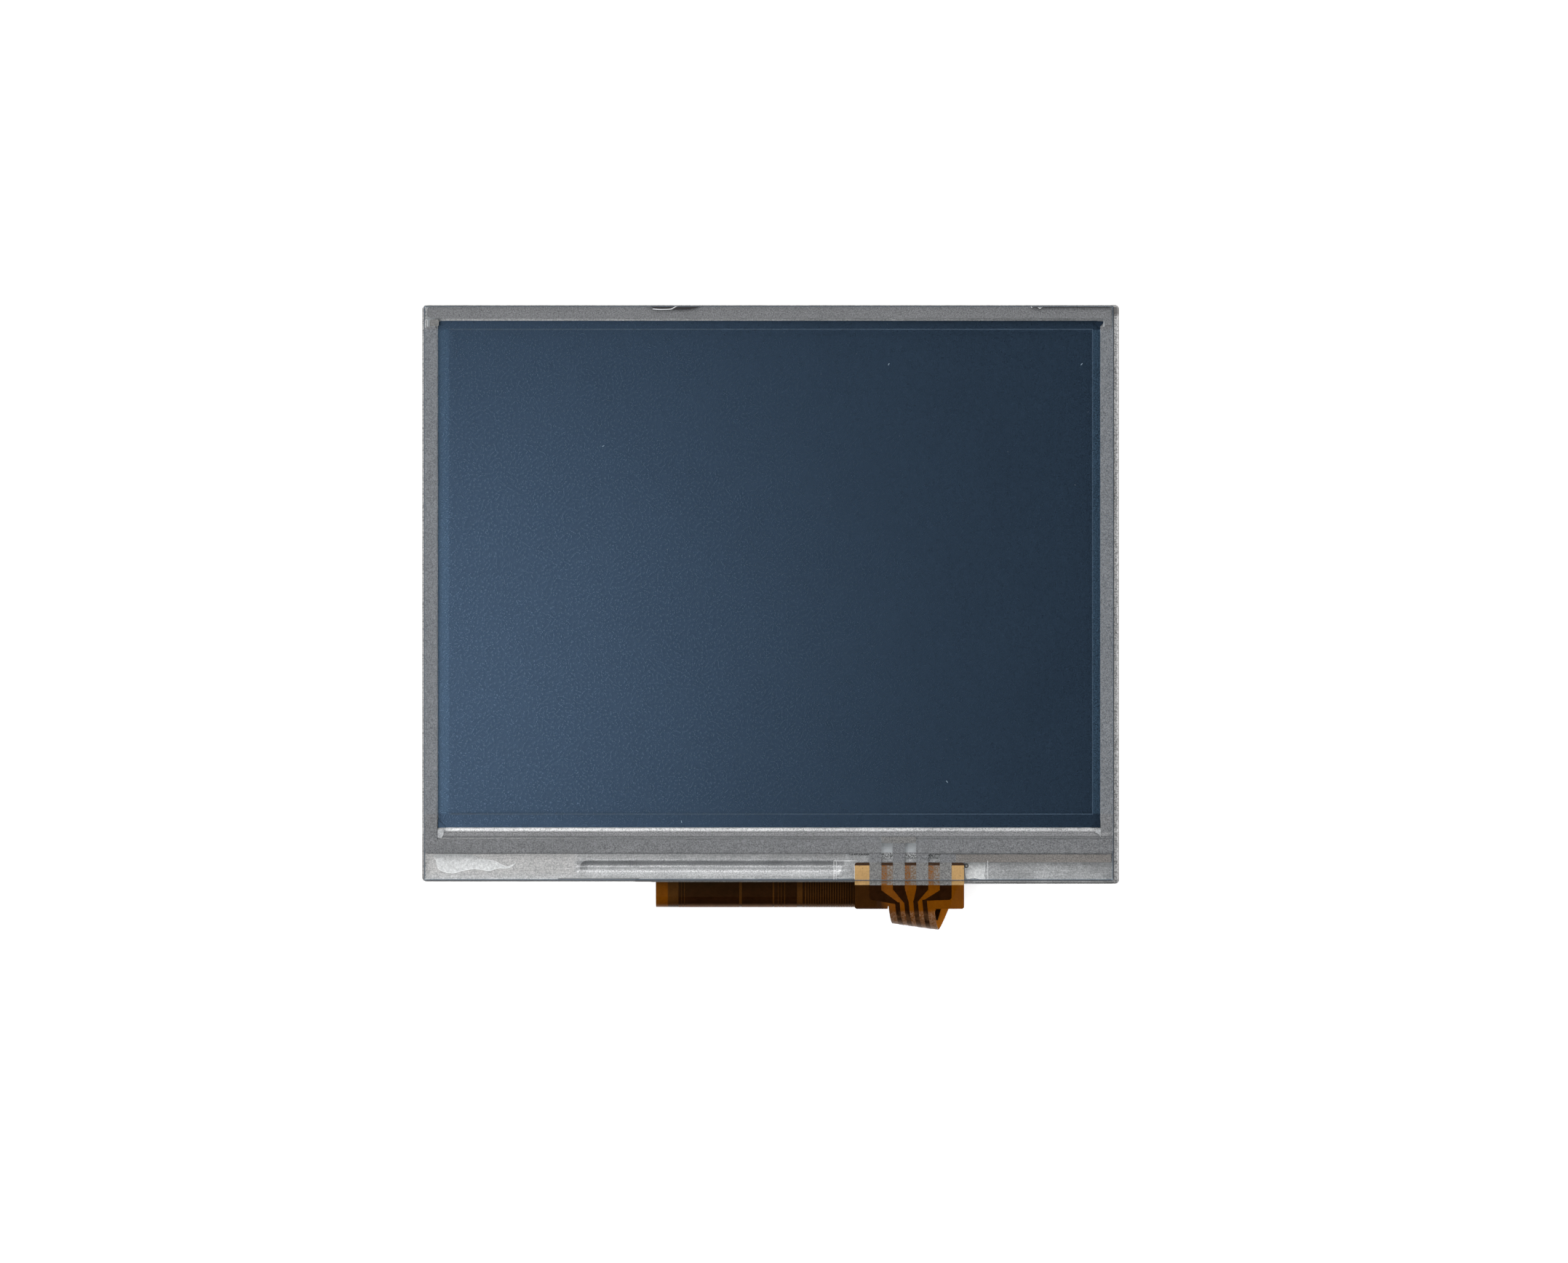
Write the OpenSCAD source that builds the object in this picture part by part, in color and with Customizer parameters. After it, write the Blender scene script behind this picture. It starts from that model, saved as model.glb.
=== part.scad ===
// Small TFT display module with a resistive touch panel on its front.
// It lies on its back: +Z points out of the screen, +X to the right, +Y up the screen.
// The origin is the centre of the module's outline, on the front face of the touch film.
// Layers are stacked from the front face down, face to face, so each one follows the others.

/* [Bezel] */
// Radius of the outer corners
corner_r = 0.5; // [0.4:0.05:0.9]
// How much shorter the bezel is left of its step
skirt_step = 0.25; // [0:0.05:0.3]
// Depth of the skirt of the bezel
skirt_h = 2.4; // [1.8:0.1:2.5]
// Thickness of the bezel sheet
bezel_t = 0.2; // [0.15:0.01:0.25]
// Length of a clip window in the skirt
clip_l = 3; // [2:0.1:4]
// Height of a clip window in the skirt
clip_h = 0.7; // [0.5:0.05:0.9]
// Depth of the channel pressed in the bezel
channel_d = 0.1; // [0.05:0.01:0.12]
// Width of that channel
channel_w = 1.76; // [1:0.01:1.9]
// Length of the channel pressed in the bezel
channel_l = 27.1; // [20:0.1:29]

/* [Picture area] */
// Width of the picture area
active_w = 70.08; // [60:0.01:90]
// Height of the picture area
active_h = 52.56; // [45:0.01:70]
// Bezel window past the picture, left
window_l = 1.61; // [1:0.01:1.7]
// Bezel window past the picture, right
window_r = 1.29; // [1:0.01:1.6]
// Bezel window past the picture, top
window_t = 1.39; // [1:0.01:1.5]
// Bezel window past the picture, bottom
window_b = 1.91; // [1.2:0.01:2]

/* [Touch panel] */
// Bezel left bare at the left of the touch panel
bare_l = 0.28; // [0.15:0.01:0.6]
// Bezel left bare at the right of the touch panel
bare_r = 0.67; // [0.3:0.01:0.9]
// Bezel left bare above the touch panel
bare_t = 0.19; // [0.1:0.01:0.4]
// Bezel left bare below the touch panel
bare_b = 0.43; // [0.35:0.01:0.6]
// Thickness of the touch film
film_t = 0.18; // [0.1:0.01:0.25]
// Thickness of each silver print
print_t = 0.02; // [0.01:0.005:0.03]
// Thickness of the spacer adhesive
spacer_t = 0.04; // [0.03:0.005:0.1]
// Picture edge to the inner edge of the spacer adhesive
spacer_margin = 0.39; // [0.2:0.01:0.8]
// Thickness of the touch glass
touch_glass_t = 0.7; // [0.5:0.05:1.1]
// Thickness of the gasket tape behind the touch glass
gasket_t = 0.1; // [0.08:0.01:0.3]
// Width of the silver bars
bar_w = 1.4; // [1:0.05:1.45]

/* [Display cell] */
// Thickness of each polariser
polariser_t = 0.15; // [0.1:0.01:0.2]
// Thickness of each sheet of cell glass
cell_glass_t = 0.4; // [0.3:0.05:0.5]
// Height of the seal between the sheets of glass
cell_gap = 0.02; // [0.01:0.005:0.04]
// Width of the seal
seal_w = 0.8; // [0.5:0.05:1.2]
// Glass past the picture, left and right
cell_side = 2.51; // [2.3:0.01:3]
// Glass past the picture, top
cell_top = 2.28; // [2.1:0.01:2.8]
// Colour filter glass past the lower edge of the window
cell_lap = 1.6; // [1.2:0.05:2]
// Ledge of the array glass past the colour filter glass
ledge_l = 3.7; // [3.3:0.05:4.5]
// Part of the ledge that rests on the moulding
ledge_rest = 1.35; // [1.1:0.05:1.6]
// Length of the main flex bonded on the ledge
main_bond_l = 1.4; // [1.1:0.05:1.6]
// Length of the driver chip
chip_l = 20; // [14:0.5:24]
// Width of the driver chip
chip_w = 1.1; // [0.8:0.05:1.2]
// Height of the driver chip
chip_h = 0.3; // [0.2:0.02:0.4]

/* [Backlight] */
// Thickness of the tape round the rim of the backlight
rim_tape_t = 0.06; // [0.04:0.01:0.1]
// Thickness of the upper diffuser
upper_diffuser_t = 0.06; // [0.04:0.01:0.1]
// Thickness of each prism film
prism_t = 0.12; // [0.08:0.01:0.16]
// Thickness of the lower diffuser
lower_diffuser_t = 0.08; // [0.05:0.01:0.12]
// Thickness of the light guide
guide_t = 0.8; // [0.6:0.05:1]
// Thickness of the reflector
reflector_t = 0.08; // [0.05:0.01:0.1]
// Number of light-emitting diodes
led_count = 6; // [3:1:8]
// Length of one diode
led_l = 3.8; // [2.8:0.1:4]
// Depth of one diode, from its light face
led_d = 1; // [0.8:0.05:1.2]
// Clearance between the light guide and the diodes
led_gap = 0.1; // [0.05:0.01:0.2]
// Width of the tail of the diode strip
led_tail_w = 1.5; // [1.2:0.1:1.8]
// Length of the slot of the back plate for that tail
led_slot_l = 3; // [2.6:0.1:3.6]
// Length of a tab of the optical films
film_tab_l = 4; // [3:0.1:6]
// Width of a tab of the optical films
film_tab_w = 0.5; // [0.3:0.05:0.6]

/* [Moulding and back plate] */
// Thickness of the back plate
plate_t = 0.2; // [0.15:0.01:0.3]
// Thickness of the moulded wall beside the glass
wall_t = 0.6; // [0.5:0.05:0.7]
// Thickness of the moulded wall below the glass, left of the step
low_wall_t = 0.4; // [0.35:0.05:0.6]
// Width of the moulded shelf under the glass
shelf_w = 1; // [0.8:0.05:1.1]
// How far the rear rim stands behind the back plate
recess_d = 0.7; // [0.65:0.05:1]
// Width of the rear rim
rim_w = 1.15; // [0.8:0.05:1.2]
// How much wider the rear rim is along the lower edge
rim_low_more = 0.5; // [0.3:0.05:0.7]
// Depth of the back plate's edge in the moulding
plate_grip = 0.5; // [0.3:0.05:0.6]
// Clearance between the bezel and the moulding
fit_gap = 0.05; // [0.02:0.01:0.08]
// Clearance round the glass and the films
glass_gap = 0.05; // [0.02:0.01:0.08]
// Depth of the panel pressed in the back plate
swage_d = 0.12; // [0.08:0.01:0.2]
// Border of the back plate round its pressed panel
swage_edge = 6; // [4:0.5:10]

/* [Main flex] */
// Width of the main flex
main_w = 24.4; // [20:0.1:27]
// Centre of the main flex, from the centre of the module
main_mid_x = -0.47; // [-1.5:0.01:0]
// How much the tail of the main flex is narrower on each side
main_neck = 0.7; // [0.4:0.05:1]
// Thickness of the main flex
main_t = 0.1; // [0.08:0.01:0.12]
// Thickness of the copper on both flexes
copper_t = 0.02; // [0.01:0.005:0.02]
// How far the fold of the main flex reaches past the module
main_reach = 2.65; // [2.4:0.05:3.2]
// Length of the main flex up the back
main_back = 28; // [24:0.5:34]
// Pitch of the contacts on the main flex
contact_pitch = 0.5; // [0.4:0.05:0.8]
// Length of the contacts on the main flex
contact_l = 3.5; // [3:0.1:4]
// Length of the stiffener behind those contacts
stiffener_l = 6; // [5:0.5:8]
// Thickness of the tape pads and stiffeners under the flexes
pad_t = 0.15; // [0.1:0.01:0.2]
// Length of a capacitor
capacitor_l = 1; // [0.6:0.1:1.2]
// Length of a resistor
resistor_l = 1.1; // [0.6:0.1:1.2]
// Width of the small parts
part_w = 0.55; // [0.3:0.05:0.6]
// Height of the small parts
part_h = 0.4; // [0.3:0.05:0.42]
// Distance between two rows of small parts
part_row = 2.8; // [2:0.1:3]
// Distance between two capacitors of a row
capacitor_pitch = 2.5; // [1.8:0.1:2.8]

/* [Touch flex] */
// Width of the head of the touch flex
head_w = 12.03; // [11:0.01:12.5]
// Height of the head of the touch flex
head_h = 5.1; // [4.9:0.05:5.4]
// Centre of the head, from the centre of the module
head_x = 15.28; // [15:0.01:18]
// How far the head reaches past the module
head_reach = 2.66; // [2.5:0.01:3]
// Thickness of the touch flex
touch_t = 0.06; // [0.04:0.005:0.08]
// Width of the tail
tail_w = 5; // [4.5:0.1:5.5]
// Length of the tail up the back, past its fold
tail_back = 22; // [18:0.5:26]
// Lean of the tail to the right, before its fold
tail_lean = 6; // [0:0.5:8]
// Slant of the fold of the tail
fold_slant = 8; // [4:0.5:9]
// Pitch of the tail's traces and contacts
tail_pitch = 1; // [0.8:0.05:1.1]
// Pitch of the leads on the head
lead_pitch = 2.58; // [2.3:0.01:2.7]
// Width of the leads on the head
lead_w = 1.3; // [1:0.05:1.5]

/* [Hidden] */
$fn = 48;
eps = 0.01;

// Levels, each the underside of the layer it is named after
z_film = -film_t;
z_upper_print = z_film - print_t;
z_spacer = z_upper_print - spacer_t;
z_lower_print = z_spacer - print_t;
z_touch_glass = z_lower_print - touch_glass_t;
z_gasket = z_touch_glass - gasket_t;
z_bezel = z_gasket - bezel_t;
z_front_polariser = z_bezel - polariser_t;
z_colour_filter = z_front_polariser - cell_glass_t;
z_seal = z_colour_filter - cell_gap;
z_array = z_seal - cell_glass_t;
z_rear_polariser = z_array - polariser_t;
z_rim_tape = z_rear_polariser - rim_tape_t;
z_upper_diffuser = z_rim_tape - upper_diffuser_t;
z_upper_prism = z_upper_diffuser - prism_t;
z_lower_prism = z_upper_prism - prism_t;
z_lower_diffuser = z_lower_prism - lower_diffuser_t;
z_guide = z_lower_diffuser - guide_t;
z_reflector = z_guide - reflector_t;
z_plate = z_reflector - plate_t;
z_rim = z_plate - recess_d;
z_skirt = z_gasket - skirt_h;

// Outline of the module
mould_inset = bezel_t + fit_gap;
glass_inset = mould_inset + wall_t + glass_gap;
low_inset = mould_inset + low_wall_t + glass_gap;
module_w = active_w + 2 * (cell_side + glass_inset);
module_h = active_h + cell_top + glass_inset + window_b + cell_lap + ledge_l + low_inset + skirt_step;
half_w = module_w / 2;
half_h = module_h / 2;
left_bottom = -half_h + skirt_step;
active_y = half_h - glass_inset - cell_top - active_h / 2;

// Window of the bezel
win_x0 = -active_w / 2 - window_l;
win_x1 = active_w / 2 + window_r;
win_y0 = active_y - active_h / 2 - window_b;
win_y1 = active_y + active_h / 2 + window_t;
win_corner_r = 0.4;

// Touch panel
panel_x0 = -half_w + bare_l;
panel_x1 = half_w - bare_r;
panel_y0 = -half_h + bare_b;
panel_y1 = half_h - bare_t;
panel_corner_r = 0.3;
print_inset = 0.08;
side_bar_top = win_y1 - 0.7;
route_top = win_y0 - 1.25;
route_bottom = route_top - 1.6;
route_r = 0.45;
low_bar_top = win_y0 - 0.4;
low_bar_w = 0.7;
gasket_inset = 0.3;
gasket_low_lap = 0.1;
pocket_left = 2.3;
pocket_right = 2.6;
pocket_top = 0.15;

// Moulding and glass
glass_x = half_w - glass_inset;
glass_y1 = half_h - glass_inset;
glass_y0 = left_bottom + low_inset;
cell_y0 = win_y0 - cell_lap;
polariser_inset = 0.4;
polariser_lap = cell_lap - 0.6;
film_x = glass_x - shelf_w - glass_gap;
film_y1 = glass_y1 - shelf_w + 0.2 - glass_gap;
film_lap = 0.5;
film_y0 = cell_y0 + film_lap;
film_tab_y = [active_y - active_h * 0.28, active_y + active_h * 0.28];
led_bay_y0 = glass_y0 + ledge_rest;
led_bay_x = film_x - 1;
rear_x = half_w - rim_w;
rear_y1 = half_h - rim_w;
rear_y0 = left_bottom + rim_w + rim_low_more;
plate_x = rear_x + plate_grip;
plate_y1 = rear_y1 + plate_grip;
plate_y0 = rear_y0 - plate_grip;

// Main flex
main_x0 = main_mid_x - main_w / 2;
main_x1 = main_mid_x + main_w / 2;
main_slot_gap = 0.5;
main_z_front = z_seal + main_t / 2;
main_z_back = z_plate - pad_t - main_t / 2;
main_fold_r = (main_z_front - main_z_back) / 2;
main_fold_y = -half_h - main_reach + main_fold_r + main_t / 2 + copper_t;
main_body_y1 = main_fold_y + main_back * 0.6;
main_end_y = main_fold_y + main_back;
main_tail_w = main_w - 2 * main_neck;
contact_count = floor(main_tail_w / contact_pitch + eps) - 1;
contact_part = 0.7;
contact_end = 0.2;

// Touch flex
head_y0 = -half_h - head_reach;
head_y1 = head_y0 + head_h;
head_r = 0.26;
touch_z_front = z_lower_print + touch_t / 2;
touch_z_back = z_plate - pad_t - touch_t / 2;
fold_r = (touch_z_front - touch_z_back) / 2;
bond_t = print_t + spacer_t + print_t - touch_t;
tail_left = 2.3;
tail_up = 0.31;
fold_turn = fold_slant + tail_lean;
along_fold = [cos(fold_slant), -sin(fold_slant)];
past_fold = [-sin(fold_slant), -cos(fold_slant)];
tail_front_way = [sin(tail_lean), -cos(tail_lean)];
tail_front_side = [cos(tail_lean), sin(tail_lean)];
back_lean = 2 * fold_slant + tail_lean;
fold_drift = PI * fold_r * tan(fold_turn);
fold_start = [head_x - tail_left, head_y0 + tail_up];
fold_end = fold_start + along_fold * fold_drift;
tail_slit = 0.05;
tail_trace_w = 0.5;
tail_contact_l = 4;
tail_stiffener_l = 6;
bond_end_y = -half_h - 0.05;

// Notch of the rear rim, which lets both flexes in
notch_x0 = main_x0 - 0.8;
notch_x1 = fold_end[0] + tail_w / cos(back_lean) + (rear_y0 - fold_end[1]) * tan(back_lean) + 0.8;

// ---------- shared shapes ----------

// Rectangle between two corners, with round corners where r is over zero
module rect_xy(x0, y0, x1, y1, r = 0) {
    if (r > 0) {
        translate([x0 + r, y0]) square([x1 - x0 - 2 * r, y1 - y0]);
        translate([x0, y0 + r]) square([x1 - x0, y1 - y0 - 2 * r]);
        for (x = [x0 + r, x1 - r], y = [y0 + r, y1 - r]) translate([x, y]) circle(r = r);
    } else {
        translate([x0, y0]) square([x1 - x0, y1 - y0]);
    }
}

// Flat layer between two levels, from the outline given as its child
module layer(z_low, z_high) {
    translate([0, 0, z_low]) linear_extrude(z_high - z_low) children();
}

// Profile drawn in Y and Z, run along X
module run_x(x0, x1) {
    translate([x0, 0, 0]) rotate([90, 0, 90]) linear_extrude(x1 - x0) children();
}

// Profile drawn in X and Z, run along Y
module run_y(y0, y1) {
    translate([0, y1, 0]) rotate([90, 0, 0]) linear_extrude(y1 - y0) children();
}

module panel_outline(inset = 0) {
    rect_xy(panel_x0 + inset, panel_y0 + inset, panel_x1 - inset, panel_y1 - inset, panel_corner_r);
}

// Outline of the optical films and the light guide, with the tabs that key them in the moulding
module film_outline(grow = 0, y0 = film_y0) {
    rect_xy(-film_x - grow, y0 - grow, film_x + grow, film_y1 + grow);
    for (y = film_tab_y) {
        rect_xy(
            -film_x - film_tab_w - grow, y - film_tab_l / 2 - grow,
            film_x + film_tab_w + grow, y + film_tab_l / 2 + grow
        );
    }
}

// ---------- touch panel ----------

module touch_film() {
    color("gainsboro", 0.4) layer(z_film, 0) panel_outline();
}

module touch_glass() {
    color("lightcyan", 0.4) layer(z_touch_glass, z_lower_print) panel_outline(0.05);
}

// Centre of one of the four leads of the head
function lead_x(i) = head_x - 3.75 + i * lead_pitch;

module lead(i, y_top) {
    rect_xy(lead_x(i) - lead_w / 2, head_y1, lead_x(i) + lead_w / 2, y_top);
}

// Left and right bars, their routes below the picture, and the first and third lead
module upper_electrode_print() {
    left = panel_x0 + print_inset;
    right = panel_x1 - print_inset;
    color("darkgray") layer(z_upper_print, z_film) {
        rect_xy(left, route_bottom, left + bar_w, side_bar_top, route_r);
        rect_xy(left, route_bottom, lead_x(0) + lead_w / 2, route_top, route_r);
        rect_xy(right - bar_w, route_bottom, right, side_bar_top, route_r);
        rect_xy(lead_x(2) - lead_w / 2, route_bottom, right, route_top, route_r);
        lead(0, route_top - route_r);
        lead(2, route_top - route_r);
    }
}

// Top bar, lower bar, the route down the right side, and the second and fourth lead
module lower_electrode_print() {
    left = panel_x0 + 0.4;
    right = panel_x1 - 0.3;
    color("darkgray") layer(z_lower_print, z_spacer) {
        rect_xy(left, panel_y1 - 1.4, right, panel_y1 - print_inset, route_r);
        rect_xy(left, low_bar_top - low_bar_w, win_x1, low_bar_top);
        rect_xy(right - bar_w / 2, head_y1, right, panel_y1 - 1);
        rect_xy(lead_x(3) - lead_w / 2, head_y1, right, route_bottom - 0.05);
        lead(1, low_bar_top);
    }
}

module spacer_tape() {
    in = spacer_margin;
    color("whitesmoke", 0.5) layer(z_spacer, z_upper_print) difference() {
        panel_outline(0.05);
        rect_xy(
            -active_w / 2 - in, active_y - active_h / 2 - in,
            active_w / 2 + in, active_y + active_h / 2 + in
        );
        rect_xy(
            head_x - head_w / 2 - pocket_left, panel_y0 - 1,
            head_x + head_w / 2 + pocket_right, head_y1 + pocket_top
        );
    }
}

// The lower bar of the gasket lies under the printed bar, and the glass below it stands clear
module touch_gasket() {
    color("lightgray", 0.5) layer(z_gasket, z_touch_glass) difference() {
        intersection() {
            panel_outline(gasket_inset);
            rect_xy(-half_w, route_bottom + gasket_low_lap, half_w, half_h);
        }
        rect_xy(
            win_x0 - gasket_inset, route_top - gasket_low_lap,
            win_x1 + gasket_inset, win_y1 + gasket_inset
        );
    }
}

// ---------- touch flex ----------

// Point on the tail in front of its fold, at a distance across it and up from the fold
function tail_front(across, up) = fold_start + tail_front_side * across - tail_front_way * up;
function fold_from(across) = fold_start + along_fold * (across / cos(fold_turn));

// The tail's own frame: the fold starts along its X axis, and the tail's left edge is at its origin
module in_tail_frame() {
    translate([fold_start[0], fold_start[1], 0]) rotate([0, 0, -fold_slant]) children();
}

function front_leg(across, up) =
    [across * cos(fold_turn) - up * sin(fold_turn), across * sin(fold_turn) + up * cos(fold_turn)];
function rear_leg(across, up) = [
    fold_drift + across * cos(fold_turn) + up * sin(fold_turn),
    up * cos(fold_turn) - across * sin(fold_turn)
];

// A strip of the tail up the back, between two distances across it and two distances from the fold
module rear_strip(across0, across1, up0, up1) {
    polygon([
        rear_leg(across0, up0), rear_leg(across1, up0), rear_leg(across1, up1), rear_leg(across0, up1)
    ]);
}

// Slab between two parallel planes: they cross the fold's start at two places, and drift sideways with
// the distance past the fold and down through it, which lets a quarter turn of the tail drift as it winds
module drift_slab(x0, x1, z, past, down) {
    long = 20;
    translate([x0, 0, z]) rotate([0, -atan2(down, norm([1, past])), atan2(past, 1)])
        translate([0, -long, -long]) cube([(x1 - x0) / norm([1, past, down]), 2 * long, 2 * long]);
}

// A strip of the tail wound half round the slanted fold, with a leg in front of it and one up the back
module folded_strip(across0, across1, r_in, r_out, front_up, rear_up) {
    x0 = across0 / cos(fold_turn);
    x1 = across1 / cos(fold_turn);
    past = tan(fold_turn);
    down = past * (PI / 2 - 1);
    middle = (touch_z_front + touch_z_back) / 2;
    in_tail_frame() {
        for (rear = [0, 1]) intersection() {
            run_x(x0 - 2, x1 + fold_drift + 2) translate([0, middle]) intersection() {
                difference() {
                    circle(r = r_out);
                    circle(r = r_in);
                }
                translate([-2 * r_out, -2 * r_out * rear]) square(2 * r_out);
            }
            if (rear) drift_slab(x0 + fold_drift, x1 + fold_drift, touch_z_back, -past, down);
            else drift_slab(x0, x1, touch_z_front, past, down);
        }
        layer(middle + r_in, middle + r_out)
            polygon([[x0, 0], [x1, 0], front_leg(across1, front_up), front_leg(across0, front_up)]);
        layer(middle - r_out, middle - r_in) polygon([
            [x0 + fold_drift, 0], [x1 + fold_drift, 0], rear_leg(across1, rear_up), rear_leg(across0, rear_up)
        ]);
    }
}

module head_outline() {
    rect_xy(head_x - head_w / 2, head_y0, head_x + head_w / 2, head_y1, head_r);
}

module touch_flex() {
    color([0.55, 0.32, 0.05]) {
        layer(z_lower_print, z_lower_print + touch_t) difference() {
            head_outline();
            polygon([
                fold_from(-tail_slit), fold_from(tail_w + tail_slit),
                fold_from(tail_w + tail_slit) + past_fold * 2, fold_from(-tail_slit) + past_fold * 2
            ]);
        }
        folded_strip(0, tail_w, fold_r - touch_t / 2, fold_r + touch_t / 2, 1, tail_back);
    }
}

// Distance across the tail of one edge of a trace
function trace_edge(i, side) = tail_w / 2 + (i - 1.5) * tail_pitch + side * tail_trace_w / 2;

// Four pads of the head, each led by a slanted neck into its trace of the tail
module touch_flex_copper() {
    neck = 0.15;
    chamfer = 0.2;
    color([0.35, 0.18, 0.06]) for (i = [0 : 3]) {
        x0 = lead_x(i) - lead_w / 2;
        x1 = lead_x(i) + lead_w / 2;
        outer = i == 0 || i == 3;
        high = bond_end_y - (outer ? 0.55 : 0.35);
        low = bond_end_y - (outer ? 1.6 : 0.7);
        goes_right = i < 2;
        e0 = trace_edge(i, -1);
        e1 = trace_edge(i, 1);
        layer(z_film - bond_t, z_film - bond_t + copper_t) polygon(concat(
            [[x0, bond_end_y], [x1, bond_end_y]],
            goes_right ? [[x1, high]] : [[x1, low + chamfer], [x1 - chamfer, low]],
            [tail_front(e1, neck), tail_front(e0, neck)],
            goes_right ? [[x0 + chamfer, low], [x0, low + chamfer]] : [[x0, high]]
        ));
        folded_strip(
            e0, e1, fold_r + touch_t / 2, fold_r + touch_t / 2 + copper_t, 0.3, tail_back - tail_contact_l
        );
    }
}

module touch_bond_strips() {
    color("silver") for (i = [0 : 3]) layer(z_film - bond_t, z_film) {
        rect_xy(lead_x(i) - lead_w / 2, bond_end_y, lead_x(i) + lead_w / 2, head_y1);
    }
}

module touch_contacts() {
    z = z_plate - pad_t - touch_t;
    color("gold") in_tail_frame() layer(z - copper_t, z) for (i = [0 : 3])
        rear_strip(trace_edge(i, -1), trace_edge(i, 1), tail_back - tail_contact_l, tail_back - contact_end);
}

module touch_stiffener() {
    color([0.75, 0.5, 0.15]) in_tail_frame() layer(z_plate - pad_t, z_plate)
        rear_strip(0, tail_w, tail_back - tail_stiffener_l, tail_back);
}

// ---------- front bezel ----------

// Section of the bezel's edge: the sheet turns over a bend into the skirt
module bezel_edge() {
    bend_out = bezel_t + 0.1;
    difference() {
        union() {
            translate([0, z_bezel]) square([corner_r - bend_out, bezel_t]);
            translate([corner_r - bezel_t, z_skirt]) square([bezel_t, z_gasket - z_skirt - bend_out]);
            translate([corner_r - bend_out, z_gasket - bend_out]) intersection() {
                circle(r = bend_out);
                square(bend_out);
            }
        }
        translate([corner_r - bend_out, z_gasket - bend_out]) circle(r = bend_out - bezel_t);
    }
}

module bezel_corner(x, y, turn) {
    translate([x, y, 0]) rotate([0, 0, turn]) rotate_extrude(angle = 90) bezel_edge();
}

// One straight side: the section's outer face is at the distance out from the centre, turned round Z
module bezel_side(turn, out, from, to) {
    rotate([0, 0, turn]) translate([out - corner_r, 0, 0]) run_y(from, to) bezel_edge();
}

// Rounded bar along X that presses the channel
module channel_bar(r) {
    z = z_gasket + channel_r - channel_d;
    for (x = [channel_x0, channel_x0 + channel_l]) translate([x, channel_y, z]) sphere(r = r);
    translate([channel_x0, channel_y, z]) rotate([0, 90, 0]) cylinder(r = r, h = channel_l);
}

channel_r = (channel_w * channel_w / 4 + channel_d * channel_d) / (2 * channel_d);
channel_x0 = main_x0 - 7.5;
channel_y = left_bottom + 1.5;
step_x = main_x1 + main_slot_gap;

// Clip places: along the sides, along the top, and one on each part of the lower skirt
clip_side_y = [-18, 0, 18];
clip_top_x = [-22, 22];
clip_left_x = (-half_w + main_x0) / 2;
clip_right_x = (half_w + head_x + head_w / 2) / 2;
clip_z = (z_gasket + z_skirt) / 2 - 0.3;

// Boxes through the skirt at every clip, of a given length, height and depth from the outer face
module at_clips(l, h, in, out) {
    z0 = clip_z - h / 2;
    for (s = [-1, 1], y = clip_side_y) {
        x0 = s > 0 ? half_w - in : -half_w - out;
        translate([x0, y - l / 2, z0]) cube([in + out, l, h]);
    }
    for (x = clip_top_x) translate([x - l / 2, half_h - in, z0]) cube([l, in + out, h]);
    translate([clip_left_x - l / 2, left_bottom - out, z0]) cube([l, in + out, h]);
    translate([clip_right_x - l / 2, -half_h - out, z0]) cube([l, in + out, h]);
}

module front_bezel() {
    in_x = half_w - corner_r;
    in_top = half_h - corner_r;
    in_left = left_bottom + corner_r;
    in_right = -half_h + corner_r;
    color("silver") difference() {
        union() {
            layer(z_bezel, z_gasket) {
                rect_xy(-in_x, in_left, in_x, in_top);
                rect_xy(step_x, in_right, in_x, in_left);
                rect_xy(main_x0 - main_slot_gap, left_bottom, step_x, in_left);
            }
            bezel_side(0, half_w, in_right, in_top);
            bezel_side(180, half_w, -in_top, -in_left);
            bezel_side(90, half_h, -in_x, in_x);
            bezel_side(270, -left_bottom, -in_x, main_x0 - main_slot_gap);
            bezel_side(270, half_h, step_x, in_x);
            bezel_corner(in_x, in_top, 0);
            bezel_corner(-in_x, in_top, 90);
            bezel_corner(-in_x, in_left, 180);
            bezel_corner(in_x, in_right, 270);
            intersection() {
                channel_bar(channel_r + bezel_t);
                layer(z_bezel - bezel_t, z_bezel + eps)
                    rect_xy(-half_w, channel_y - 2, half_w, channel_y + 2);
            }
        }
        layer(z_bezel - eps, z_gasket + eps) rect_xy(win_x0, win_y0, win_x1, win_y1, win_corner_r);
        channel_bar(channel_r);
        at_clips(clip_l, clip_h, bezel_t + 0.1, 0.1);
    }
}

// ---------- display cell ----------

module front_polariser() {
    color([0.1, 0.14, 0.19]) layer(z_front_polariser, z_bezel)
        rect_xy(
            -glass_x + polariser_inset, win_y0 - polariser_lap,
            glass_x - polariser_inset, glass_y1 - polariser_inset
        );
}

module colour_filter_glass() {
    color("lightcyan", 0.5) layer(z_colour_filter, z_front_polariser)
        rect_xy(-glass_x, cell_y0, glass_x, glass_y1);
}

module cell_seal() {
    color("beige") layer(z_seal, z_colour_filter) difference() {
        rect_xy(-glass_x + 0.2, cell_y0 + 0.2, glass_x - 0.2, glass_y1 - 0.2);
        rect_xy(
            -glass_x + 0.2 + seal_w, cell_y0 + 0.2 + seal_w,
            glass_x - 0.2 - seal_w, glass_y1 - 0.2 - seal_w
        );
    }
}

module array_glass() {
    color("lightcyan", 0.5) layer(z_array, z_seal) rect_xy(-glass_x, glass_y0, glass_x, glass_y1);
}

module driver_chip() {
    y = (cell_y0 + glass_y0 + main_bond_l) / 2;
    color("dimgray") layer(z_seal, z_seal + chip_h)
        rect_xy(main_mid_x - chip_l / 2, y - chip_w / 2, main_mid_x + chip_l / 2, y + chip_w / 2);
}

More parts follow.
